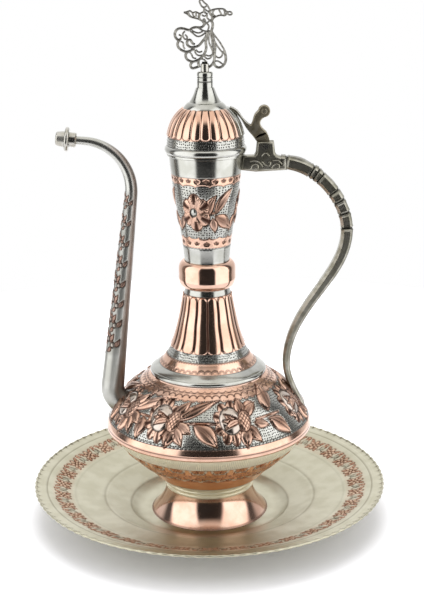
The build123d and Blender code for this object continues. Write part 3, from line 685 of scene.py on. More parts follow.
# %% A flower with its branch
def flower(wall, turn, along, upright, drop):
    """One big flower. Its branch bears a long upper leaf, or an upright one, and a lower leaf that
    hangs by so many degrees."""
    x, y = wall.local(turn, along)
    stem(wall, x - 22, y + 2, 0, 26, 1.5, 0.02)
    if upright:
        leaf(wall, x - 37, y - 2, 102, 27, 13.0, 2.0, -0.04, 2)
        leaf(wall, x - 35, y + 4, drop, 28, 11.0, 1.9, 0.06, 2)
        leaf(wall, x - 20, y + 4, -20, 15, 7.0, 1.2)
        dome(wall, x - 18, y - 10, 5.5, 5.5, 1.2)
    else:
        leaf(wall, x - 14, y + 1, 37, 34, 10.5, 2.0, 0.05, 2)
        leaf(wall, x - 29, y + 3.0, drop, 31 if drop > -60 else 20, 11.5, 2.0, 0.06, 2)
        leaf(wall, x - 14, y + 2, -30, 17, 9.0, 1.3)
    frill(wall, x - 0.3, y + 1.5, 14.0, 19.5, 9, 1.2, 0.24, 54)
    leaf(wall, x - 12, y + 5, -52, 20, 9.0, 1.6)
    leaf(wall, x - 11, y - 2, 40, 17, 8.5, 1.3)
    dome(wall, x, y, 8.8, 11.4, 2.3, 0.30)
    for lean, bend in ((152, 0.14), (178, 0.0), (206, -0.14)):
        leaf(wall, x - 8, y + 1, lean, 14.5, 5.6, 2.5, bend, cuts=0)
    leaf(wall, x - 10.5, y - 4, 98 if upright else 58, 16, 8.5, 1.8)
    leaf(wall, x - 12, y + 7, -94, 17, 10.5, 1.9)
    bud(wall, x - 11.5, y + 1.5, 5.2, 8.8)


# Where each flower stands, in degrees round the body, and how far its lower leaf hangs. The smith set
# them out by eye. The one that stands to the right of the front has an upright leaf.
UPRIGHT = -75.7
FLOWERS = ((-159, -72), (-122, -37), (UPRIGHT, -40), (-20.5, -41),
           (25, -41), (70, -41), (115, -41), (159, -41))


def chase_upper_body(wall):
    low, high, top = (at_height(wall, foot_z + height) for height in (86.6, 118.6, 126.0))
    ground = wall.band(low, high, 0.25)
    wall.paint("punched", 1.0, ground)
    wall.paint("copper", 1.0, wall.band(0, low, 0.3))
    lobes = above_arches(wall, high - 2.2, 56, 2.2, -1)
    wall.paint("copper", 1.0, wall.band(high - 3, top, 0.3) * smooth(0.2, -0.2, lobes))
    wall.ring(at_height(wall, foot_z + 80.6), 0.5, 0.1)
    middle = at_height(wall, foot_z + 105.6)
    for turn, drop in FLOWERS:
        flower(wall, math.radians(turn), middle, turn == UPRIGHT, drop)
    wall.ring(low)
    scallops(wall, low + 0.2, 150, 1.7, width=0.45, dark=1.0)
    wall.line(lobes + 9 * (1 - wall.band(high - 3, high + 1, 0.1)), 0.45, 0.2, 1.0)
    scallops(wall, high + 1.8, 56, 2.9, width=0.5, dark=1.0)
    wall.ring(high + 6.4)


upper_body = spun_wall("upper_body", 660, fine_rows(0.62))
chase_upper_body(upper_body)
finish_piece("upper_body_wall", mesh_from(upper_body, "upper_body_wall"), "jug",
             [tinned_copper], ["upper_body"])

# %% [markdown]
# ## The bowl under the seam
#
# The bowl is tinned thin. A band of scrolls is cut round its widest part, and below it a smooth band of
# copper has been left bare.

# %% Bowl
def scroll(wall, x, y, size, spin=1, width=0.4):
    """A volute: a spiral line that tightens to its eye."""
    angle = np.arctan2(y, x * spin)
    distance = np.hypot(x, y)
    winding = (np.log(np.maximum(distance, 0.3) / size) / 0.26 - angle) / FULL_TURN
    gap = np.abs(wrapped(winding, 1.0)) * distance * 1.1
    wall.line(np.where(distance < size, gap, 9.0), width, 0.2, 0.85)


def chase_lower_bowl(wall):
    heights = {name: at_height(wall, foot_z + z) for name, z in
               (("low", 34.5), ("band", 46.5), ("top", 65.0), ("chatter", 76.0))}
    copper_band = wall.band(heights["low"], heights["top"], 0.3)
    wall.paint("copper", 1.0, copper_band)
    middle = (heights["band"] + heights["top"]) / 2
    half = (heights["top"] - heights["band"]) / 2
    for step in range(2):
        x, y = wall.local(step * FULL_TURN / 52, middle, 26)
        side = 1 if step else -1
        scroll(wall, x, y * side - 1.5, 7.2, side)
        leaf(wall, x - 1, y * side + half - 1, 62, 9, 4.5, 0.5)
        leaf(wall, x + 1, y * side + half - 1, 118, 9, 4.5, 0.5)
        ring = np.hypot(x, y * side + half) - 6.6
        rim = wall.band(heights["band"], heights["top"], 0.2) * np.exp(-(ring / 0.9)**2)
        wall.paint("copper", 0.0, rim)
        wall.line(np.where(rim > 0.02, np.abs(ring) - 1.2, 9.0), 0.25, 0.1, 0.8)
    for name in ("band", "top", "low"):
        wall.ring(heights[name], 0.35, 0.2)
    x, y = wall.local(0.0, heights["top"], 330)
    cut = wall.band(heights["top"] + 0.6, heights["chatter"], 0.4) * np.exp(-(x / 0.45)**2)
    wall.lift -= 0.12 * cut
    wall.patina_and_shade = np.maximum(wall.patina_and_shade, 0.20 * cut)
    wall.ring(heights["chatter"], 0.5, 0.25, 0.8)


lower_bowl = spun_wall("lower_bowl", 640, fine_rows(0.7))
chase_lower_bowl(lower_bowl)
finish_piece("lower_bowl_wall", mesh_from(lower_bowl, "lower_bowl_wall"), "jug",
             [warm_tin], ["lower_bowl"])

# %% [markdown]
# ## The neck
#
# The lower neck is fluted from just above the body to the copper ring. Geometry Nodes cuts the flutes:
# the tree reads how far round and how far up each point lies and moves it out or in.

# %% Geometry Nodes: flutes
def flutes_tree():
    """Flutes on a turned wall. They run between two places along it and end in round arches."""
    tree = bpy.data.node_groups.new("flutes", "GeometryNodeTree")
    sockets = tree.interface
    sockets.new_socket("Geometry", in_out="INPUT", socket_type="NodeSocketGeometry")
    for name, value in (("Count", 16.0), ("Depth", 0.001), ("Low", 0.0), ("High", 0.05), ("Arch", 0.006),
                        ("Swell", 0.5), ("Wave", 0.0), ("Cut", 0.0), ("Phase", 0.0)):
        sockets.new_socket(name, in_out="INPUT", socket_type="NodeSocketFloat").default_value = value
    sockets.new_socket("Metal", in_out="INPUT", socket_type="NodeSocketMaterial")
    sockets.new_socket("Geometry", in_out="OUTPUT", socket_type="NodeSocketGeometry")
    given = add(tree, "NodeGroupInput").outputs

    def named(attribute):
        return add(tree, "GeometryNodeInputNamedAttribute", {"data_type": "FLOAT"}, name=attribute).outputs[0]

    turn, along = named("turn"), named("along")
    sway = maths(tree, "SINE", maths(tree, "MULTIPLY", along, 260.0))
    turn = maths(tree, "ADD", turn, maths(tree, "MULTIPLY", sway, given["Wave"]))
    cell = maths(tree, "FRACT", maths(tree, "MULTIPLY_ADD", turn, given["Count"], given["Phase"]))
    off = maths(tree, "ABSOLUTE", maths(tree, "MULTIPLY_ADD", cell, 2.0, -1.0))
    arch = maths(tree, "SQRT", maths(tree, "SUBTRACT", 1.0, maths(tree, "MULTIPLY", off, off)))
    drop = maths(tree, "MULTIPLY", maths(tree, "SUBTRACT", 1.0, arch), given["Arch"])
    top = maths(tree, "SUBTRACT", maths(tree, "SUBTRACT", given["High"], drop), along)
    base = maths(tree, "SUBTRACT", along, maths(tree, "ADD", given["Low"], drop))
    edge = maths(tree, "MINIMUM", top, base)
    inside = smoothstep(tree, edge, 0.0, 0.0012)
    bulge = maths(tree, "POWER", arch, given["Swell"])
    height = maths(tree, "MULTIPLY", maths(tree, "MULTIPLY", bulge, inside), given["Depth"])
    normal = add(tree, "GeometryNodeInputNormal").outputs[0]
    offset = add(tree, "ShaderNodeVectorMath", {"operation": "SCALE"}, in_0=normal, scale=height).outputs[0]
    moved = add(tree, "GeometryNodeSetPosition", geometry=given["Geometry"], offset=offset).outputs[0]
    # The grooves between the flutes are darkened, narrower below Cut: painted shade in the recesses, with the
    # dirt they hold. The rim is the dark chased outline round their ends.
    over = maths(tree, "SUBTRACT", along, given["Cut"])
    narrow = maths(tree, "SUBTRACT", off, maths(tree, "MULTIPLY", smoothstep(tree, over, 0.012, 0.0), 0.3))
    groove = maths(tree, "MULTIPLY", smoothstep(tree, narrow, 0.72, 0.86), inside)
    rim = maths(tree, "MULTIPLY", smoothstep(tree, maths(tree, "ABSOLUTE", edge), 0.0007, 0.0), 0.95)
    dark = maths(tree, "MAXIMUM", maths(tree, "MULTIPLY", groove, 0.95), rim)
    dark = maths(tree, "MAXIMUM", dark, named("patina_and_shade"))
    kept = add(tree, "GeometryNodeStoreNamedAttribute", {"data_type": "FLOAT", "domain": "POINT"},
               geometry=moved, name="patina_and_shade", value=dark).outputs[0]
    real = add(tree, "GeometryNodeRealizeInstances", geometry=kept).outputs[0]
    clad = add(tree, "GeometryNodeSetMaterial", geometry=real, material=given["Metal"]).outputs[0]
    add(tree, "NodeGroupOutput", geometry=clad)
    return tree


def with_tree(mesh, tree, settings):
    """Runs a geometry tree on a mesh and gives back the result as a plain mesh."""
    holder = bpy.data.objects.new("holder", mesh)
    scene.collection.objects.link(holder)
    modifier = holder.modifiers.new("tree", "NODES")
    modifier.node_group = tree
    for item in tree.interface.items_tree:
        if item.item_type == "SOCKET" and item.in_out == "INPUT" and item.name in settings:
            modifier[item.identifier] = settings[item.name]
    ready = holder.evaluated_get(bpy.context.evaluated_depsgraph_get())
    result = bpy.data.meshes.new_from_object(ready)
    holder.modifiers.clear()
    bpy.data.objects.remove(holder)
    return result


flutes = flutes_tree()

# %% Lower neck
def chase_lower_neck(wall):
    step, band, dots, low, top = (at_height(wall, foot_z + z) for z in (126.0, 134.0, 142.0, 147.5, 194.0))
    across = np.clip((wall.along - step) / (band - step), 0, 1)
    wall.lift += 1.7 * np.sin(math.pi * across**0.65)[:, None]
    wall.paint("copper", 1.0, wall.band(band, dots, 0.3))
    wall.paint("copper", 1.0, wall.band(low + 1.0, top, 0.3))
    wall.paint("punched", 1.0, wall.band(dots, low + 1.0, 0.2))
    for along, radius in ((band + 1.2, 2.6), (band + 1.2, 1.7), (dots - 1.0, 1.3)):
        scallops(wall, along, 44, radius, dark=0.7)
    for along in (step, band, dots, top):
        wall.ring(along)
    scallops(wall, dots + 0.4, 84, 1.2, upward=False, dark=0.7)
    return low, top


lower_neck = spun_wall("lower_neck", 480, fine_rows(0.6))
flute_low, flute_high = chase_lower_neck(lower_neck)
lower_neck_mesh = with_tree(mesh_from(lower_neck, "lower_neck_wall"), flutes, {
    "Count": 16.0, "Depth": 1.1 * MM, "Low": flute_low * MM, "High": flute_high * MM,
    "Arch": 4.5 * MM, "Swell": 0.7, "Wave": 0.0012, "Metal": tinned_copper})
finish_piece("lower_neck_wall", lower_neck_mesh, "jug", [tinned_copper], ["lower_neck"])

# %% Plain turned walls of the jug
for name, columns, pitch, slot, metal in (
        ("foot_flare", 256, 1.2, "polished_copper", polished_copper),
        ("foot_collar", 192, 0.8, "tinned_copper", warm_tin),
        ("neck_ring", 256, 0.8, "polished_copper", polished_copper)):
    plain = spun_wall(name, columns, fine_rows(pitch))
    plain.copper[:] = 1.0 if metal is polished_copper else 0.0
    if name == "foot_flare":
        # A dark line with no groove round the foot's lower edge, where it stands on the basin: painted shade.
        plain.ring(at_height(plain, foot_z + 0.4), 0.9, 0.0, 0.8)
    finish_piece(name + "_wall", mesh_from(plain, name + "_wall"), "jug", [metal], [name])

# %% [markdown]
# The upper neck is a funnel with bands of punched marks, plain silver rings and a wide zone of open
# flowers on a dotted ground.

# %% Upper neck
def open_flower(wall, turn, along):
    """An open flower of six broad petals with a silver eye, and a spray of leaves at its right."""
    x, y = wall.local(turn, along)
    stem(wall, x - 8, y + 3, 14, 12, 1.4, 0.05)
    leaf(wall, x - 18, y + 3, -42, 19, 11.0, 1.0, 0.05, 2)
    leaf(wall, x - 16, y + 5, -86, 12, 6.5, 1.0)
    leaf(wall, x - 18, y + 1, 48, 27, 7.0, 1.2, 0.05)
    leaf(wall, x - 13, y + 2, 66, 18, 7.0, 1.2, 0.12)
    leaf(wall, x + 10, y + 4, 250, 14, 6.0, 0.8)
    frill(wall, x - 2.0, y, 12.4, 15.6, 6, 1.2, 0.20, 54, 0.5)
    dome(wall, x - 0.6, y, 2.6, 3.2, 1.1, 0.0)


def chase_upper_neck(wall):
    foot, low, high, top = (at_height(wall, foot_z + z) for z in (235.5, 243.5, 288.5, 294.5))
    under = above_arches(wall, high, 15, 1.9)
    over = above_arches(wall, low, 15, 1.9, -1)
    ground = wall.band(low - 2, high + 2, 0.1) * smooth(0.2, -0.2, under) * smooth(0.2, -0.2, over)
    wall.paint("copper", 1.0, wall.band(foot, top, 0.3))
    wall.paint("copper", 0.0, ground)
    wall.paint("punched", 1.0, ground)
    for i in range(3):
        open_flower(wall, math.radians(-116 + 120 * i), at_height(wall, foot_z + 266))
    for border in (under, over):
        wall.line(border, 0.35, 0.15)
    for along in (foot, top):
        wall.ring(along, 0.25, 0.1, 0.6)
    for along, copies in (((high + top) / 2 + 0.6, 24), ((foot + low) / 2, 16)):
        x, y = wall.local(0.0, along, copies)
        for lean in (30, 90, 150):
            leaf(wall, x, y + 0.8, lean, 1.9, 1.3, 0.2, cuts=0)
    scallops(wall, foot, 45, 1.0, upward=False, dark=0.7)


upper_neck = spun_wall("upper_neck", 400, fine_rows(0.55))
chase_upper_neck(upper_neck)
finish_piece("upper_neck_wall", mesh_from(upper_neck, "upper_neck_wall", 21.0), "jug",
             [tinned_copper], ["upper_neck"])

# %% [markdown]
# ## The lid
#
# The dome is fluted too, with lobes that swell to round ends above a dotted silver band. The side by the
# lever kept its tin.

# %% Lid
def chase_lid(wall):
    low, dots, top = (at_height(wall, foot_z + z) for z in (317.6, 324.5, 346.4))
    wall.paint("copper", 1.0, wall.band(dots, top + 8, 0.3))
    wall.paint("punched", 1.0, wall.band(low, dots, 0.3))
    by_lever = smooth(42, 24, np.degrees(np.abs(wrapped(wall.turn, FULL_TURN))))[None, :]
    wall.copper *= 1 - by_lever
    wall.ring(low, 0.35, 0.15)
    return dots, top


lid_dome = spun_wall("lid_dome", 480, fine_rows(0.5))
flute_low, flute_high = chase_lid(lid_dome)
lid_mesh = with_tree(mesh_from(lid_dome, "lid_dome_wall"), flutes, {
    "Count": 24.0, "Depth": 1.0 * MM, "Low": flute_low * MM, "High": (flute_high + 8) * MM,
    "Arch": 3.2 * MM, "Swell": 0.8, "Wave": 0.0, "Phase": 0.5,
    "Cut": (0.6 * flute_low + 0.4 * flute_high) * MM, "Metal": tinned_copper})
finish_piece("lid_dome_wall", lid_mesh, "lid", [tinned_copper], ["lid_dome"])

for name, columns, pitch, slot in (
        ("lid_sleeve", 192, 1.0, "tinned_copper"), ("lid_cone", 192, 0.4, "tinned_copper"),
        ("finial_sleeve", 96, 0.4, "tinned_casting")):
    plain = spun_wall(name, columns, fine_rows(pitch, 2.0))
    if name == "finial_sleeve":
        for height in (367.8, 371.6):
            plain.ring(at_height(plain, foot_z + height), 0.5, 0.3)
    finish_piece(name + "_wall", mesh_from(plain, name + "_wall"), "lid", [tinned_copper], [name])

# %% [markdown]
# ## The basin
#
# A shallow dish with a band of engraved flowers, a plain flange and a nicked edge. Its tin is dull and
# yellowish with age. Fine cuts run outwards on the floor, and two rings were turned into it.

# %% Basin
def rosette(wall, turn, along, copies):
    """A flower of six ovals, with a tinned gap beside it that is framed by two petals."""
    x, y = (value / 0.74 for value in wall.local(turn, along, copies))
    for i in range(6):
        lean = math.radians(30 + 60 * i)
        u, v = x - 5.6 * math.cos(lean), y - 5.6 * math.sin(lean)
        u, v = u * math.cos(lean) + v * math.sin(lean), -u * math.sin(lean) + v * math.cos(lean)
        dome(wall, u, v, 3.4, 2.5, 0.25, 0.7)
    dome(wall, x, y, 2.0, 2.0, 0.3, 0.7)
    x, y = (value / 0.74 for value in wall.local(turn + math.pi / copies, along, copies))
    for side in (-1, 1):
        leaf(wall, x * side - 1.5, y + 8, 80, 14, 4.5, 0.2, 0.16, cuts=0)
        leaf(wall, x * side - 5.0, y + 9, 40, 8, 3.2, 0.2, cuts=0)
        leaf(wall, x * side - 6.5, y - 9, -50, 7, 3.2, 0.2, cuts=0)
    dome(wall, x, y + 8.5, 2.0, 1.7, 0.2)
    gap = smooth(1.0, 0.7, np.hypot(x / 4.2, (y - 1.5) / 6.5))
    wall.paint("copper", 0.0, gap)


def chase_tray(wall):
    at = {r: at_radius(wall, r) for r in (146.5, 139.6, 134.8, 118.0, 116.2, 90.3, 68.1)}
    wall.paint("copper", 0.15, wall.band(at[134.8], at[118.0], 0.5))
    rosette(wall, 0.0, (at[134.8] + at[118.0]) / 2, 36)
    for radius, dark in ((139.6, 0.6), (116.2, 0.7), (90.3, 0.3), (68.1, 0.3)):
        wall.ring(at[radius], 0.45, 0.25, dark)
    x, y = wall.local(0.0, at[116.2], 420)
    cut = wall.band(at[116.2] + 0.8, at[90.3] - 0.8, 0.4) * np.exp(-(x / 0.35)**2)
    wall.lift -= 0.05 * cut
    wall.patina_and_shade = np.maximum(wall.patina_and_shade, 0.10 * cut)
    x, y = wall.local(0.0, at[146.5], 104)
    crimp = np.cos(wall.turn * 104)[None, :] * smooth(143.5, 149.0, wall.radius)[:, None]
    wall.lift += 0.25 * crimp - 0.25 * (wall.radius > 143.5)[:, None]
    nick = np.exp(-(x / 0.8)**2) * np.exp(-((y + 1.2) / 1.6)**2)
    wall.patina_and_shade = np.maximum(wall.patina_and_shade, 0.9 * nick)
    wall.lift -= 0.3 * nick


def tray_rows(radius, _out, up):
    """Fine on the engraved band and the flange, coarser on the floor, coarse underneath."""
    if up < 0.3:
        return 6.0
    return 0.75 if radius > 116 else 1.6 if radius > 66 else 4.0


tray = spun_wall("tray_dish", 780, tray_rows)
chase_tray(tray)
finish_piece("tray_dish_wall", mesh_from(tray, "tray_dish_wall"), "basin", [lacquered_tin],
             ["tray_dish"])

# %% [markdown]
# ## Spout
#
# A tapered tube that leaves the body low down, climbs close beside the neck and turns outwards at the
# top. The middle of its length is engraved.

# %% A wall along a path
def rounded_path(corners, radii, pitch):
    """Points every pitch mm along a path of straight runs whose corners are rounded."""
    corners = [np.array(corner, float) for corner in corners]
    points = [corners[0]]
    for i, radius in enumerate(radii):
        before, corner, after = corners[i:i + 3]
        back, ahead = before - corner, after - corner
        back, ahead = back / np.hypot(*back), ahead / np.hypot(*ahead)
        half = math.acos(float(back @ ahead)) / 2
        middle = corner + (back + ahead) / np.hypot(*(back + ahead)) * radius / math.sin(half)
        first, last = (corner + way * radius / math.tan(half) - middle for way in (back, ahead))
        a, b = math.atan2(first[1], first[0]), math.atan2(last[1], last[0])
        sweep = wrapped(b - a, FULL_TURN)
        for angle in a + sweep * np.linspace(0, 1, 24):
            points.append(middle + radius * np.array([math.cos(angle), math.sin(angle)]))
    points.append(corners[-1])
    points = np.array(points)
    along = np.concatenate([[0], np.cumsum(np.hypot(*np.diff(points, axis=0).T))])
    stops = np.linspace(0, along[-1], int(along[-1] / pitch) + 1)
    return stops, np.stack([np.interp(stops, along, points[:, k]) for k in (0, 1)], axis=1)


def path_wall(stops, points, outline, columns):
    """A wall swept along a path in the XZ plane. outline(share, turn) gives its half sizes there as
    offsets in mm to the side and in depth."""
    tangent = np.gradient(points, axis=0)
    tangent /= np.hypot(*tangent.T)[:, None]
    turn = np.arange(columns) * FULL_TURN / columns
    side, deep = outline((stops / stops.max())[:, None], turn[None, :])
    tx, tz = tangent[:, 0][:, None], tangent[:, 1][:, None]
    px, pz = points[:, 0][:, None], points[:, 1][:, None]
    places = np.stack([px + side * tz, deep + 0 * tz, pz - side * tx], axis=2)
    around = np.roll(places, -1, axis=1) - np.roll(places, 1, axis=1)
    ahead = np.gradient(places, axis=0)
    normals = np.cross(around, ahead)
    normals /= np.linalg.norm(normals, axis=2)[:, :, None]
    radius = np.linalg.norm(around, axis=2).sum(1) / 2 / FULL_TURN
    return Wall(stops, radius, places, normals, turn, False)


def hollow(wall, inner):
    """Joins the inner wall, reversed, to the outer one, so that the tube is closed at both ends."""
    gap = float(np.abs(wall.radius[-1] - inner.radius[-1]))
    along = np.concatenate([wall.along, wall.along[-1] * 2 + gap - inner.along[::-1]])
    both = Wall(along, np.concatenate([wall.radius, inner.radius[::-1]]),
                np.concatenate([wall.places, inner.places[::-1]]),
                np.concatenate([wall.normals, -inner.normals[::-1]]), wall.turn, True)
    for layer in ("lift", "copper", "patina_and_shade", "punched"):
        getattr(both, layer)[:len(wall.along)] = getattr(wall, layer)
    return both


# %% Spout wall
spout_corners = ((-65.9, 93.1), (-82.3, 101.7), (-56.2, 317.1), (-104.0, 321.7))
spout_bends = (16.0, 40.0)
spout_radius = (10.4, 3.2)
spout_sheet = 1.0


def spout_shape(shrink):
    def outline(share, turn):
        radius = spout_radius[0] + (spout_radius[1] - spout_radius[0]) * share - shrink
        return radius * np.cos(turn), radius * np.sin(turn)
    return outline


def chase_spout(wall):
    """A vine on the outer side: at every turn of it a ringed berry and three leaves."""
    low, high, inner_edge, pitch = 56.0, 195.0, math.radians(109), 8.6
    away = np.abs(wrapped(wall.turn - math.pi, FULL_TURN))
    outer = smooth(inner_edge + 0.05, inner_edge - 0.05, away)[None, :]
    wall.paint("patina_and_shade", 0.22, wall.band(low, high, 3.0) * outer)
    for i in range(int((high - low) / pitch)):
        along = low + 4 + i * pitch
        size = float(np.interp(along, wall.along, wall.radius)) / 8.5
        for side in (-1, 1):
            near = side == (1 if i % 2 else -1)
            x, y = wall.local(math.pi + side * (0.5 if near else 1.15), along + (0 if near else pitch / 2))
            x, y = x * side / size, y / size
            leaf(wall, x - 0.5, y - 1.5, 118, 9.5, 4.2, 0.45, 0.15, 0)
            leaf(wall, x - 1.0, y + 1.0, 52, 8.0, 3.6, 0.40, -0.12, 0)
            leaf(wall, x + 1.0, y + 2.0, 225, 6.0, 3.0, 0.35, 0.10, 0)
            dome(wall, x, y, 1.7, 1.9, 0.45, 0.3)
            wall.line(np.hypot(x, y) - 2.9, 0.35, 0.15)
    wall.copper *= 0.7
    inner = smooth(inner_edge, inner_edge + 0.15, away)[None, :] * wall.band(0, high + 40, 8.0)
    wall.paint("copper", 0.25, inner)
    wall.paint("patina_and_shade", 0.38, inner)


stops, points = rounded_path(spout_corners, spout_bends, 0.62)
points[:, 1] += foot_z
spout = path_wall(stops, points, spout_shape(0.0), 120)
chase_spout(spout)
every = slice(None, None, 6)
spout_inner = path_wall(stops[every], points[every], spout_shape(spout_sheet), 120)
spout_mesh = mesh_from(hollow(spout, spout_inner), "spout_wall")
finish_piece("spout_wall", spout_mesh, "jug", [spout_tin], ["spout_tube"])

# %% [markdown]
# ## Handle and hinge
#
# The handle is one casting: a long S with a flat dark face and bright slopes at both sides, a bracket on
# the neck, and a fork for the lever. Cuts and ridges cross its upper part like knuckles.

# %% Cast metals
def cast_metal(name, light, dark, rough, cloud_mm, pits=0.03):
    """Cast metal: two tones in soft clouds, dark where the patina_and_shade attribute says so (cut lines and
    painted shade), finely pitted.
    """
    material = bpy.data.materials.new(name)
    material.use_nodes = True
    tree = material.node_tree
    shader = tree.nodes["Principled BSDF"]
    place = add(tree, "ShaderNodeTexCoord").outputs["Object"]
    clouds = add(tree, "ShaderNodeTexNoise", vector=place, scale=1 / (cloud_mm * MM), detail=6.0)
    grain = add(tree, "ShaderNodeTexNoise", vector=place, scale=1 / (0.5 * MM), detail=2.0)
    tone = smoothstep(tree, clouds.outputs["Fac"], 0.35, 0.65)
    colour = mix_colours(tree, tone, linear(light), linear(dark))
    patina_and_shade = add(tree, "ShaderNodeAttribute", {"attribute_name": "patina_and_shade"}).outputs["Fac"]
    colour = mix_colours(tree, patina_and_shade, colour, linear("#0D0C0A"))
    bump = add(tree, "ShaderNodeBump", strength=1.0, distance=1.0,
               height=maths(tree, "MULTIPLY", grain.outputs["Fac"], pits * MM))
    tree.links.new(colour, shader.inputs["Base Color"])
    tree.links.new(bump.outputs[0], shader.inputs["Normal"])
    roughness = maths(tree, "MULTIPLY_ADD", clouds.outputs["Fac"], 0.15, rough)
    tree.links.new(roughness, shader.inputs["Roughness"])
    shader.inputs["Metallic"].default_value = 1.0
    return material


# Nickel-bronze casting gone dark: grey-olive faces, with worn slopes that shine.
dark_casting = cast_metal("oxidised_nickel_bronze", "#A5A297", "#8C897B", 0.24, 6.0, 0.012)
# The lever is the same metal, browner.
brown_casting = cast_metal("oxidised_bronze_lever", "#B3AB98", "#978D77", 0.36, 4.0, 0.015)
# Small cast fittings, tinned: nearly white and bright.
tinned_casting = cast_metal("tinned_cast_fittings", "#B9B7B1", "#A8A59B", 0.16, 5.0, 0.01)
# The finial's wire is darkened silver-grey.
dark_wire = cast_metal("darkened_nickel_wire", "#8E8C85", "#63605A", 0.20, 2.0, 0.01)

# %% Shapes for castings
def smooth_line(points, pitch):
    """A smooth curve through points, and how far along it each of its new points lies."""
    points = np.array(points, float)
    knots = np.concatenate([[0], np.cumsum(np.hypot(*np.diff(points, axis=0).T))])
    gap, n = np.diff(knots), len(points)
    system, pull = np.eye(n), np.zeros((n, 2))
    for i in range(1, n - 1):
        system[i, i - 1:i + 2] = gap[i - 1], 2 * (gap[i - 1] + gap[i]), gap[i]
        pull[i] = 6 * ((points[i + 1] - points[i]) / gap[i] - (points[i] - points[i - 1]) / gap[i - 1])
    bend = np.linalg.solve(system, pull)
    stops = np.linspace(0, knots[-1], int(knots[-1] / pitch) + 1)
    i = np.clip(np.searchsorted(knots, stops, side="right") - 1, 0, n - 2)
    b, h = ((stops - knots[i]) / gap[i])[:, None], gap[i][:, None]
    a = 1 - b
    return stops, (a * points[i] + b * points[i + 1]
                   + ((a**3 - a) * bend[i] + (b**3 - b) * bend[i + 1]) * h**2 / 6)


def inset(outline, amount):
    """A closed outline moved inwards by an amount. It runs counter-clockwise."""
    outline = np.array(outline, float)
    ahead = np.roll(outline, -1, axis=0) - outline
    ahead /= np.hypot(*ahead.T)[:, None]
    back = np.roll(ahead, 1, axis=0)
    inward = np.stack([-ahead[:, 1], ahead[:, 0]], axis=1) + np.stack([-back[:, 1], back[:, 0]], axis=1)
    length = np.hypot(*inward.T)[:, None]
    return outline + inward / length * np.minimum(amount * 2 / length, 1.6 * amount)


def bevelled_plate(outline, front, back, round_front, round_back, steps=3):
    """Rings of a plate in the XZ plane from y = front to y = back, with rounded edges."""
    outline = np.array(outline, float)

    def edge(face, radius, way):
        angles = np.linspace(0, math.pi / 2, steps + 1)
        return [(inset(outline, radius * (1 - math.sin(a)) + 1e-4), face + way * radius * (1 - math.cos(a)))
                for a in angles]

    return edge(front, round_front, 1) + edge(back, round_back, -1)[::-1]


def mesh_of_rings(name, plates, dark=0.0):
    """One mesh of several plates, each a list of rings from front to back. Their flat faces get the share
    dark as painted shade.
    """
    shape = bmesh.new()
    patina_and_shade = shape.verts.layers.float.new("patina_and_shade")
    for rings in plates:
        loops = [[shape.verts.new((x * MM, y * MM, (z + foot_z) * MM)) for x, z in ring] for ring, y in rings]
        for vert in loops[0] + loops[-1]:
            vert[patina_and_shade] = dark
        shape.faces.new(loops[0])
        shape.faces.new(loops[-1][::-1])
        for first, second in zip(loops, loops[1:]):
            for i in range(len(first)):
                j = (i + 1) % len(first)
                shape.faces.new((first[j], first[i], second[i], second[j]))
    bmesh.ops.recalc_face_normals(shape, faces=shape.faces)
    mesh = bpy.data.meshes.new(name)
    shape.to_mesh(mesh)
    shape.free()
    return mesh


def joined(name, *meshes):
    """Several meshes as one."""
    shape = bmesh.new()
    for mesh in meshes:
        shape.from_mesh(mesh)
    result = bpy.data.meshes.new(name)
    shape.to_mesh(result)
    shape.free()
    return result


# %% Handle
handle_depth = 10.0
grip_thickness = (10.6, 4.6)
grip_bevel = 2.2
mouth_z = float(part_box("upper_neck")[1][2]) / MM - foot_z
pin_x, pin_z = (float(sum(corner[k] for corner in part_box("hinge_pin"))) / 2 / MM for k in (0, 2))
pin_z -= foot_z
grip_points = [(60.2, 303.0), (74.2, 299.9), (91.1, 290.5), (106.6, 272.5), (114.8, 248.0), (111.9, 227.5),
               (101.6, 207.4), (87.4, 186.9), (74.6, 165.7), (67.2, 144.8), (66.5, 124.5), (71.0, 110.7),
               (79.5, 93.7)]


def grip_outline(share, turn):
    """An eight-sided bar, thinner towards its lower end."""
    half = (grip_thickness[0] + (grip_thickness[1] - grip_thickness[0]) * share**1.6) / 2
    deep = handle_depth / 2 + 0 * share
    cut = np.minimum(grip_bevel, 0.62 * half)
    corners = np.stack([
        np.concatenate(pair, axis=1) for pair in (
            (half, cut - deep), (half, deep - cut), (half - cut, deep), (cut - half, deep),
            (-half, deep - cut), (-half, cut - deep), (cut - half, -deep), (half - cut, -deep))])
    place = turn[0] / FULL_TURN * 8
    first = place.astype(int) % 8
    part = (place - place.astype(int))[None, :, None]
    spot = corners.transpose(1, 0, 2)
    spot = spot[:, first] * (1 - part) + spot[:, (first + 1) % 8] * part
    return spot[:, :, 0], spot[:, :, 1]


# How far along the grip each cut lies, with its width, and each swelling, with its length and rise.
GRIP_CUTS = ((4.5, 0.9), (26.8, 0.8), (31.0, 0.7), (35.5, 0.7),
             (52.0, 0.9), (60.7, 1.0), (71.3, 1.0), (83.8, 0.8))
GRIP_SWELLS = ((15.0, 7.0, 0.9), (30.0, 3.2, 0.8), (45.0, 5.0, 0.3), (56.5, 3.0, 0.4))


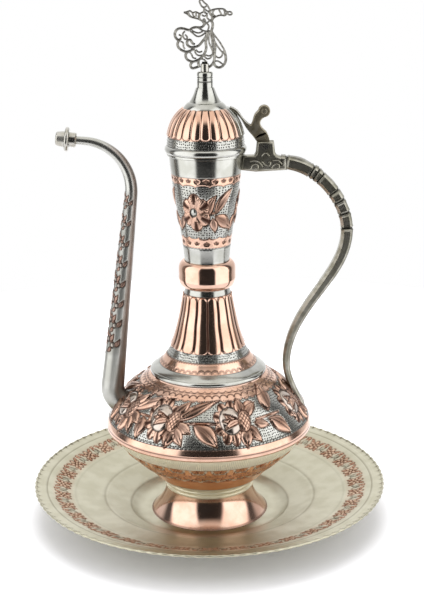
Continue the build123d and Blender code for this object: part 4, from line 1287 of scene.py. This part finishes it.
def carve_grip(wall):
    """Cuts and ridges across the upper part of the handle. The outer side is painted darker, as painted
    shade.
    """
    for along, width in GRIP_CUTS:
        wall.ring(along, width, 0.7, 1.0)
        wall.lift += 0.35 * np.exp(-((np.abs(wall.along - along) - width * 1.7) / 0.6)**2)[:, None]
    for along, length, rise in GRIP_SWELLS:
        outer = smooth(0.2, 1.0, np.cos(wall.turn - math.pi))[None, :]
        wall.lift += rise * np.exp(-((wall.along - along) / length)**2)[:, None] * outer
    # Painted shade: the outer side of the bar is darkened.
    corner = wall.turn / FULL_TURN * 8
    outer_side_shade = smooth(3.0, 3.4, corner) * smooth(5.7, 5.3, corner)
    wall.patina_and_shade = np.maximum(wall.patina_and_shade, 0.42 * outer_side_shade[None, :])


stops, points = smooth_line(grip_points, 0.5)
points[:, 1] += foot_z
grip = path_wall(stops, points, grip_outline, 48)
carve_grip(grip)
grip_mesh = mesh_from(grip, "grip")

# The bracket lies against the neck. Its two outer plates rise into the fork's cheeks, and between them
# the lever has its slot.
bracket_low, bracket_top = mouth_z - 16.7, mouth_z - 3.5
cheek_top, slot_floor, slot_half = mouth_z + 7.9, mouth_z - 2.2, 2.2
bracket_base = [(28.0, bracket_low + 1.5), (40.2, bracket_low), (65.2, bracket_low + 1.2),
                (65.2, bracket_top - 2.6), (57.2, bracket_top)]
cheek = bracket_base + [(55.9, bracket_top + 2.0), (54.9, cheek_top), (41.3, cheek_top),
                        (40.3, bracket_top + 2.0), (39.0, bracket_top), (30.2, bracket_top)]
middle = bracket_base + [(55.8, slot_floor), (40.4, slot_floor), (39.0, bracket_top), (30.2, bracket_top)]
half, worn, sharp, overlap = handle_depth / 2, 2.0, 0.3, 0.2
bracket_mesh = mesh_of_rings("bracket", [
    bevelled_plate(cheek, -half, -slot_half, worn, sharp),
    bevelled_plate(cheek, slot_half, half, sharp, worn),
    bevelled_plate(middle, -slot_half - overlap, slot_half + overlap, 0.05, 0.05)])
finish_piece("handle_casting", joined("handle_casting", grip_mesh, bracket_mesh), "jug",
             [dark_casting], ["handle"])

# %% Lever
def lever_outline():
    """The lever's side view, counter-clockwise: strap, thumb piece with its curl, and knuckle."""
    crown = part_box("lid_dome")[1]
    crown_x, crown_z = 18.5, float(crown[2]) / MM - foot_z
    curl = np.array((pin_x - 1.0, pin_z + 28.0))
    curl_radius, knuckle = 4.8, 4.6

    def curve(*given):
        return smooth_line(given, 1.2)[1][:-1].tolist()

    def arc(middle, radius, start, end):
        angles = np.radians(np.linspace(start, end, 14))
        return [(middle[0] + radius * math.cos(a), middle[1] + radius * math.sin(a)) for a in angles]

    fork = (pin_x - 11.7, pin_z + 17.0)
    strap = (crown_x + 1.4, crown_z + 1.6)
    points = curve(strap, (crown_x + 7.1, crown_z - 1.4), (crown_x + 12.4, crown_z - 8.6), fork)
    points += curve(fork, (pin_x - 10.5, pin_z + 19.5), (pin_x - 8.7, pin_z + 25.3),
                    curl + (-curl_radius, 0.6))
    points += arc(curl, curl_radius, 172, -90)
    points += curve(curl + (0.2, -curl_radius), (pin_x - 3.8, pin_z + 20.5), (pin_x - 3.5, pin_z + 15.9),
                    (pin_x + 0.5, pin_z + 11.5), (pin_x + 3.3, pin_z + 5.3))
    points += arc((pin_x, pin_z), knuckle, 20, -180)
    strap_under = (crown_x + 1.0, crown_z - 0.6)
    points += curve((pin_x - 5.0, pin_z + 1.0), (pin_x - 7.3, pin_z + 3.9), (pin_x - 9.5, pin_z + 7.3),
                    (pin_x - 12.7, pin_z + 11.1), (pin_x - 16.5, pin_z + 16.3),
                    (crown_x + 9.7, crown_z - 8.2), strap_under)
    points.append(strap_under)
    return np.array(points)[::-1], curl


outline, curl = lever_outline()

# Inside the fork the lever is a thin tongue. Outside a circle round the pin it is a wider plate.
tongue_half, plate_half, curl_half, clear = 1.9, 3.3, 3.5, 10.0
away = np.hypot(outline[:, 0] - pin_x, outline[:, 1] - pin_z)
outside = np.nonzero(away >= clear)[0]
gap = int(np.argmax(np.diff(outside))) + 1
first, last = outline[outside[gap - 1]], outline[outside[gap]]
angles = np.linspace(*(math.atan2(p[1] - pin_z, p[0] - pin_x) for p in (first, last)), 9)
around = [(pin_x + clear * math.cos(a), pin_z + clear * math.sin(a)) for a in angles]
wide = np.concatenate([outline[outside[:gap]], around, outline[outside[gap:]]])
eye_radius = 2.3
eye = [(curl[0] + eye_radius * math.cos(a), curl[1] + eye_radius * math.sin(a))
       for a in np.linspace(0, FULL_TURN, 24)[:-1]]
# The lever's flat faces are painted a little darker, as painted shade.
lever_mesh = mesh_of_rings("lever", [
    bevelled_plate(outline, -tongue_half, tongue_half, 0.4, 0.4),
    bevelled_plate(wide, -plate_half, plate_half, 0.8, 0.8),
    bevelled_plate(eye, -curl_half, curl_half, 0.4, 0.4)], dark=0.3)
lever = finish_piece("lever_casting", lever_mesh, "lid", [brown_casting, tinned_casting],
                     ["lid_lever"])

# The strap that lies on the dome kept its tin.
strap_end = (pin_x - 13.0) * MM
strap = [int(polygon.center.x < strap_end) for polygon in lever.data.polygons]
lever.data.polygons.foreach_set("material_index", strap)

# %% [markdown]
# ## The finial's dancer
#
# The figure is bent and cut from flat metal, like a drawing in wire: a whirling dancer with a tall hat,
# spread arms and a wide skirt. Its lines are given in millimetres from the top of the spindle, and
# Geometry Nodes sweeps a small section along them.

# %% Geometry Nodes: wires
def wires_tree():
    """Sweeps a round section along edges, as thick as the attribute says, then deepens it along Y."""
    tree = bpy.data.node_groups.new("wires", "GeometryNodeTree")
    sockets = tree.interface
    sockets.new_socket("Geometry", in_out="INPUT", socket_type="NodeSocketGeometry")
    for name, value in (("Thickness", 0.001), ("Deepen", 1.0)):
        sockets.new_socket(name, in_out="INPUT", socket_type="NodeSocketFloat").default_value = value
    sockets.new_socket("Metal", in_out="INPUT", socket_type="NodeSocketMaterial")
    sockets.new_socket("Geometry", in_out="OUTPUT", socket_type="NodeSocketGeometry")
    given = add(tree, "NodeGroupInput").outputs
    thick = add(tree, "GeometryNodeInputNamedAttribute", {"data_type": "FLOAT"}, name="thick").outputs[0]
    curve = add(tree, "GeometryNodeMeshToCurve", mesh=given["Geometry"]).outputs[0]
    radius = maths(tree, "MULTIPLY", maths(tree, "MULTIPLY", thick, given["Thickness"]), 0.5)
    sized = add(tree, "GeometryNodeSetCurveRadius", curve=curve, radius=radius).outputs[0]
    section = add(tree, "GeometryNodeCurvePrimitiveCircle", {"mode": "RADIUS"}, resolution=8, radius=1.0)
    swept = add(tree, "GeometryNodeCurveToMesh", curve=sized, profile_curve=section.outputs[0],
                scale=radius)
    swept.inputs["Fill Caps"].default_value = True
    place = add(tree, "GeometryNodeInputPosition").outputs[0]
    x, y, z = add(tree, "ShaderNodeSeparateXYZ", in_0=place).outputs
    depth = maths(tree, "MULTIPLY", y, given["Deepen"])
    deeper = add(tree, "ShaderNodeCombineXYZ", in_0=x, in_1=depth, in_2=z)
    moved = add(tree, "GeometryNodeSetPosition", geometry=swept.outputs[0], position=deeper.outputs[0])
    real = add(tree, "GeometryNodeRealizeInstances", geometry=moved.outputs[0]).outputs[0]
    clad = add(tree, "GeometryNodeSetMaterial", geometry=real, material=given["Metal"]).outputs[0]
    add(tree, "NodeGroupOutput", geometry=clad)
    return tree


def lines_mesh(name, lines, place):
    """Edges for the wires tree. Each line is (thickness, points), and place turns (u, v) mm to XYZ mm."""
    verts, edges, thick = [], [], []
    for weight, given in lines:
        points = smooth_line(given, 0.5)[1]
        edges += [(len(verts) + i, len(verts) + i + 1) for i in range(len(points) - 1)]
        verts += [tuple(value * MM for value in place(u, v)) for u, v in points]
        thick += [float(weight)] * len(points)
    mesh = bpy.data.meshes.new(name)
    mesh.from_pydata(verts, edges, [])
    mesh.attributes.new("thick", "FLOAT", "POINT").data.foreach_set("value", thick)
    return mesh


wires = wires_tree()

# %% Figure
# Each part of the figure has a weight for its wire and some lines, each a few points (across, up)
# in mm that the wire runs smoothly through.
FIGURE = (
    ("skirt outline", 3, (
        ((-11.8, 27.5), (-13.8, 28.1), (-18.1, 29.1), (-21.6, 28.1), (-23.2, 25.4), (-22.8, 22.3),
         (-20.3, 20.1), (-18.5, 21.1)),
        ((-19.7, 19.9), (-21.3, 17.2), (-20.4, 14.1), (-17.8, 11.9), (-15.1, 10.9), (-12, 11.3),
         (-8.9, 12.7)),
        ((2.2, 26.2), (1.6, 21.5), (1, 17.6), (1.3, 14.1), (0.3, 10.2), (-1.1, 7.8), (-3.9, 5.1),
         (-7, 3.5), (-10.1, 3.1), (-13.2, 4.3), (-15, 7), (-14.4, 9.8), (-12.4, 10.9)),
        ((-9.3, 2.9), (-11.3, 0.4), (-10.2, -2), (-7, -1.6), (-5.1, -0.8), (-5.4, 2.7)),
        ((5.4, 26.6), (6.5, 23), (7.6, 18.4), (8.3, 13.7), (7.9, 9), (7.7, 5.1), (7.1, 2.7),
         (4.7, -0.4), (2.3, -2)),
        ((15.4, 11.7), (16.5, 7.4), (16.6, 3.5), (14.8, 0), (11.7, -1.8), (8.6, -0.8), (7.1, 2)),
        ((-11.8, 27.5), (-9.1, 29.3), (-5.2, 29.7), (-2, 29.9), (-0.1, 32.4), (-1.2, 34.4)),
        ((-7.6, 16.4), (-9.6, 17.6), (-11.5, 20.1), (-13.5, 19.1), (-13.7, 16.8), (-12, 14.8),
         (-8.1, 14.3), (-4.9, 15.4), (-1.4, 19.1), (1, 22.3), (2.2, 26.2)),
    )),
    ("skirt folds", 2, (
        ((-20.3, 24.2), (-18.3, 23), (-18.9, 20.7)),
        ((-15.2, 26.8), (-16.9, 25), (-16.6, 22.3), (-15, 20.5), (-13.6, 21.5), (-15.4, 24.2)),
        ((-18.9, 18.8), (-17, 18), (-16.6, 14.8), (-15.5, 12.9)),
        ((-4.8, 29.3), (-1.3, 27.3), (1.8, 26.6), (5.4, 27)),
        ((-11.4, 27.1), (-8, 24.2), (-5.6, 22.7), (-2.1, 23.4), (1, 25.8)),
        ((-9.9, 27.3), (-6.8, 25.8), (-4.4, 25.4), (-1.3, 26.6)),
        ((-12, 10.5), (-10.1, 8.2), (-9.3, 6.2), (-6.6, 5.5)),
        ((-8.5, 13.7), (-7.5, 10.5), (-5.8, 8.2), (-3, 7.8), (-0.3, 8.6)),
        ((-6.9, 12.5), (-4.6, 10.4), (-1.8, 11.1)),
        ((-3.1, 5.1), (-0.3, 4.3), (1.2, 2), (0.4, -1.2)),
        ((-3.9, 4.9), (-4.7, 2), (-3.9, -1.6)),
        ((3.8, 26.2), (3.3, 21.5), (3.7, 17.6), (5.6, 12.9), (6.4, 10.5), (5.9, 7.8), (4.7, 5.9),
         (2.4, 5.1), (0.5, 6.2), (0.1, 9.4)),
        ((0.9, 8.2), (2.8, 7.4), (5.9, 8.2)),
        ((6.1, 26.2), (8.8, 22.3), (12.3, 17.6), (14.6, 13.7), (15.4, 11.7), (14.6, 10.2),
         (12.6, 11.7), (9.5, 16), (7.2, 20.3)),
        ((8.1, 8.2), (9.4, 6.6), (11.8, 5.9), (13.7, 7.4), (14.2, 9.8)),
        ((7.1, 2.3), (9.4, 3.3), (12.1, 2.3), (14.5, 0.4)),
        ((4.6, 26.2), (5.7, 19.9), (6.4, 13.7), (6.6, 10.5)),
    )),
    ("waist", 3, (
        ((4.3, 35.2), (6.2, 33.6), (6.6, 30.9), (5.8, 27.7), (5.4, 26.6)),
    )),
    ("chest", 2, (
        ((1.5, 33.2), (3.4, 30.9), (2.6, 27)),
        ((1.5, 33.2), (-0.5, 30.9), (-3.6, 29.3)),
        ((-1.6, 34.4), (0, 36.1), (1.5, 33.2), (4.3, 35.2)),
        ((-2.7, 40.2), (-3.9, 37.5), (-1.6, 34.4)),
        ((-1.9, 39.3), (0.4, 38.3), (2.4, 39.8)),
        ((2.4, 39.8), (2.3, 37.1), (4.3, 35.2)),
        ((3.6, 41.4), (5.9, 38.3), (7.8, 37.1)),
        ((5.9, 38.3), (6, 34.8)),
    )),
    ("arms", 2, (
        ((-16, 41.4), (-12.8, 42), (-10.9, 42.4), (-9.3, 41.2), (-6.6, 41.6), (-3.5, 40.4),
         (-1.1, 41.4), (1.2, 41.2)),
        ((-16, 41.4), (-12.9, 39.8), (-11.3, 38.3), (-9, 37.3), (-5.1, 36.3), (-1.6, 34.4)),
        ((-12.5, 41.8), (-11.7, 39.5), (-9.8, 37.7)),
        ((-9.3, 41.2), (-8.6, 39.1), (-7.4, 36.9)),
        ((-6.6, 41.6), (-6.4, 39.1), (-7, 36.9)),
        ((-3.5, 40.4), (-4.5, 38.3), (-3.5, 35.5)),
        ((3.6, 42), (6.7, 43.2), (9.8, 43.8), (13, 43.9), (15.7, 43.4), (18.4, 41.4), (20.7, 41.4),
         (21.7, 39.8), (19.9, 39.1), (18, 40.8)),
        ((18, 40.8), (16.4, 38.7), (13.3, 38.9), (9.4, 37.9), (7.4, 36.7), (6, 33.6)),
        ((7.9, 43), (6.7, 40.6), (7.8, 38.7), (9.4, 37.9)),
        ((11.4, 43.6), (13.7, 39.1)),
        ((15.3, 43.4), (16.2, 41), (15.6, 38.9)),
        ((5.5, 42.8), (4.7, 41), (6.7, 39.1)),
    )),
    ("hat", 2, (
        ((-3.8, 50.4), (-3, 48), (-1.1, 45.3), (0.1, 44.3), (-0.3, 42.6), (0.8, 40.8), (2.8, 40.2)),
        ((-3.8, 50.4), (-1.8, 50.7), (0.1, 48.8), (2.4, 46.9), (3.6, 44.9), (4.4, 43), (3.6, 41)),
        ((-1.1, 45.3), (0.7, 45.3), (2.4, 46.9)),
        ((0.1, 44.3), (1.6, 42.8), (3.6, 41.8)),
    )),
)
figure_lines = [(weight, line) for _, weight, part in FIGURE for line in part]
print("lines in the figure:", len(figure_lines))


figure_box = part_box("finial_figure")
head_top = float(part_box("finial_spindle")[1][2]) / MM
figure_drop = 1.4


def on_figure(u, v):
    return u, 0.0, head_top + v - figure_drop


figure_mesh = with_tree(lines_mesh("figure", figure_lines, on_figure), wires, {
    "Thickness": 0.72 * MM, "Deepen": 0.95, "Metal": dark_wire})
tab = [(-2.6, head_top - foot_z - 3.9), (2.6, head_top - foot_z - 3.9), (2.2, head_top - foot_z + 1.6),
       (-2.2, head_top - foot_z + 1.6)]
tab_mesh = mesh_of_rings("tab", [bevelled_plate(tab, -0.85, 0.85, 0.1, 0.1)])
finish_piece("finial_wirework", joined("finial_wirework", figure_mesh, tab_mesh), "lid",
             [dark_wire], ["finial_figure"])

# Raised curls on the bracket's front, on each side of the fork, and a bead round the pin's head.
curls = [(2, ((-12.0, 2.6), (-9.6, 6.4), (-6.2, 5.6), (-6.4, 3.0), (-8.2, 3.2))),
         (2, ((-12.6, 8.8), (-9.0, 9.4), (-5.2, 8.2), (-2.4, 4.6))),
         (2, ((-2.6, 8.6), (0.6, 5.6), (3.6, 5.8), (3.8, 8.2), (2.0, 8.2))),
         (2, ((4.8, 3.0), (7.4, 6.2), (10.6, 6.2), (11.0, 3.8), (9.2, 3.4))),
         (2, ((5.8, 9.4), (10.2, 9.4), (13.2, 6.4))),
         (2, ((-3.2, 13.0), (0.0, 15.6), (3.2, 13.0)))]
pin_height, bead_radius = pin_z - bracket_low, 1.6
curls.append((1.5, [(bead_radius * math.cos(a), pin_height + bead_radius * math.sin(a))
                    for a in np.linspace(0, FULL_TURN, 17)]))


def on_bracket(u, v):
    return pin_x + u, -handle_depth / 2 - 0.05, foot_z + bracket_low + v


relief_mesh = with_tree(lines_mesh("curls", curls, on_bracket), wires, {
    "Thickness": 0.5 * MM, "Deepen": 1.0, "Metal": dark_casting})
finish_piece("bracket_relief", relief_mesh, "jug", [dark_casting])
print("figure box", [[round(v / MM, 1) for v in corner] for corner in figure_box])

# %% [markdown]
# ## Small fittings
#
# The spout's nozzle and cap, the spindle, the nut inside the cone and the hinge pin keep their CAD form
# and get the look of tinned castings.

# %% Small fittings
fittings = ("spout_nozzle", "spout_cap", "finial_spindle", "finial_nut", "hinge_pin")
for node in fittings:
    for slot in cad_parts[node].material_slots:
        slot.material = tinned_casting
print("fittings:", *fittings)
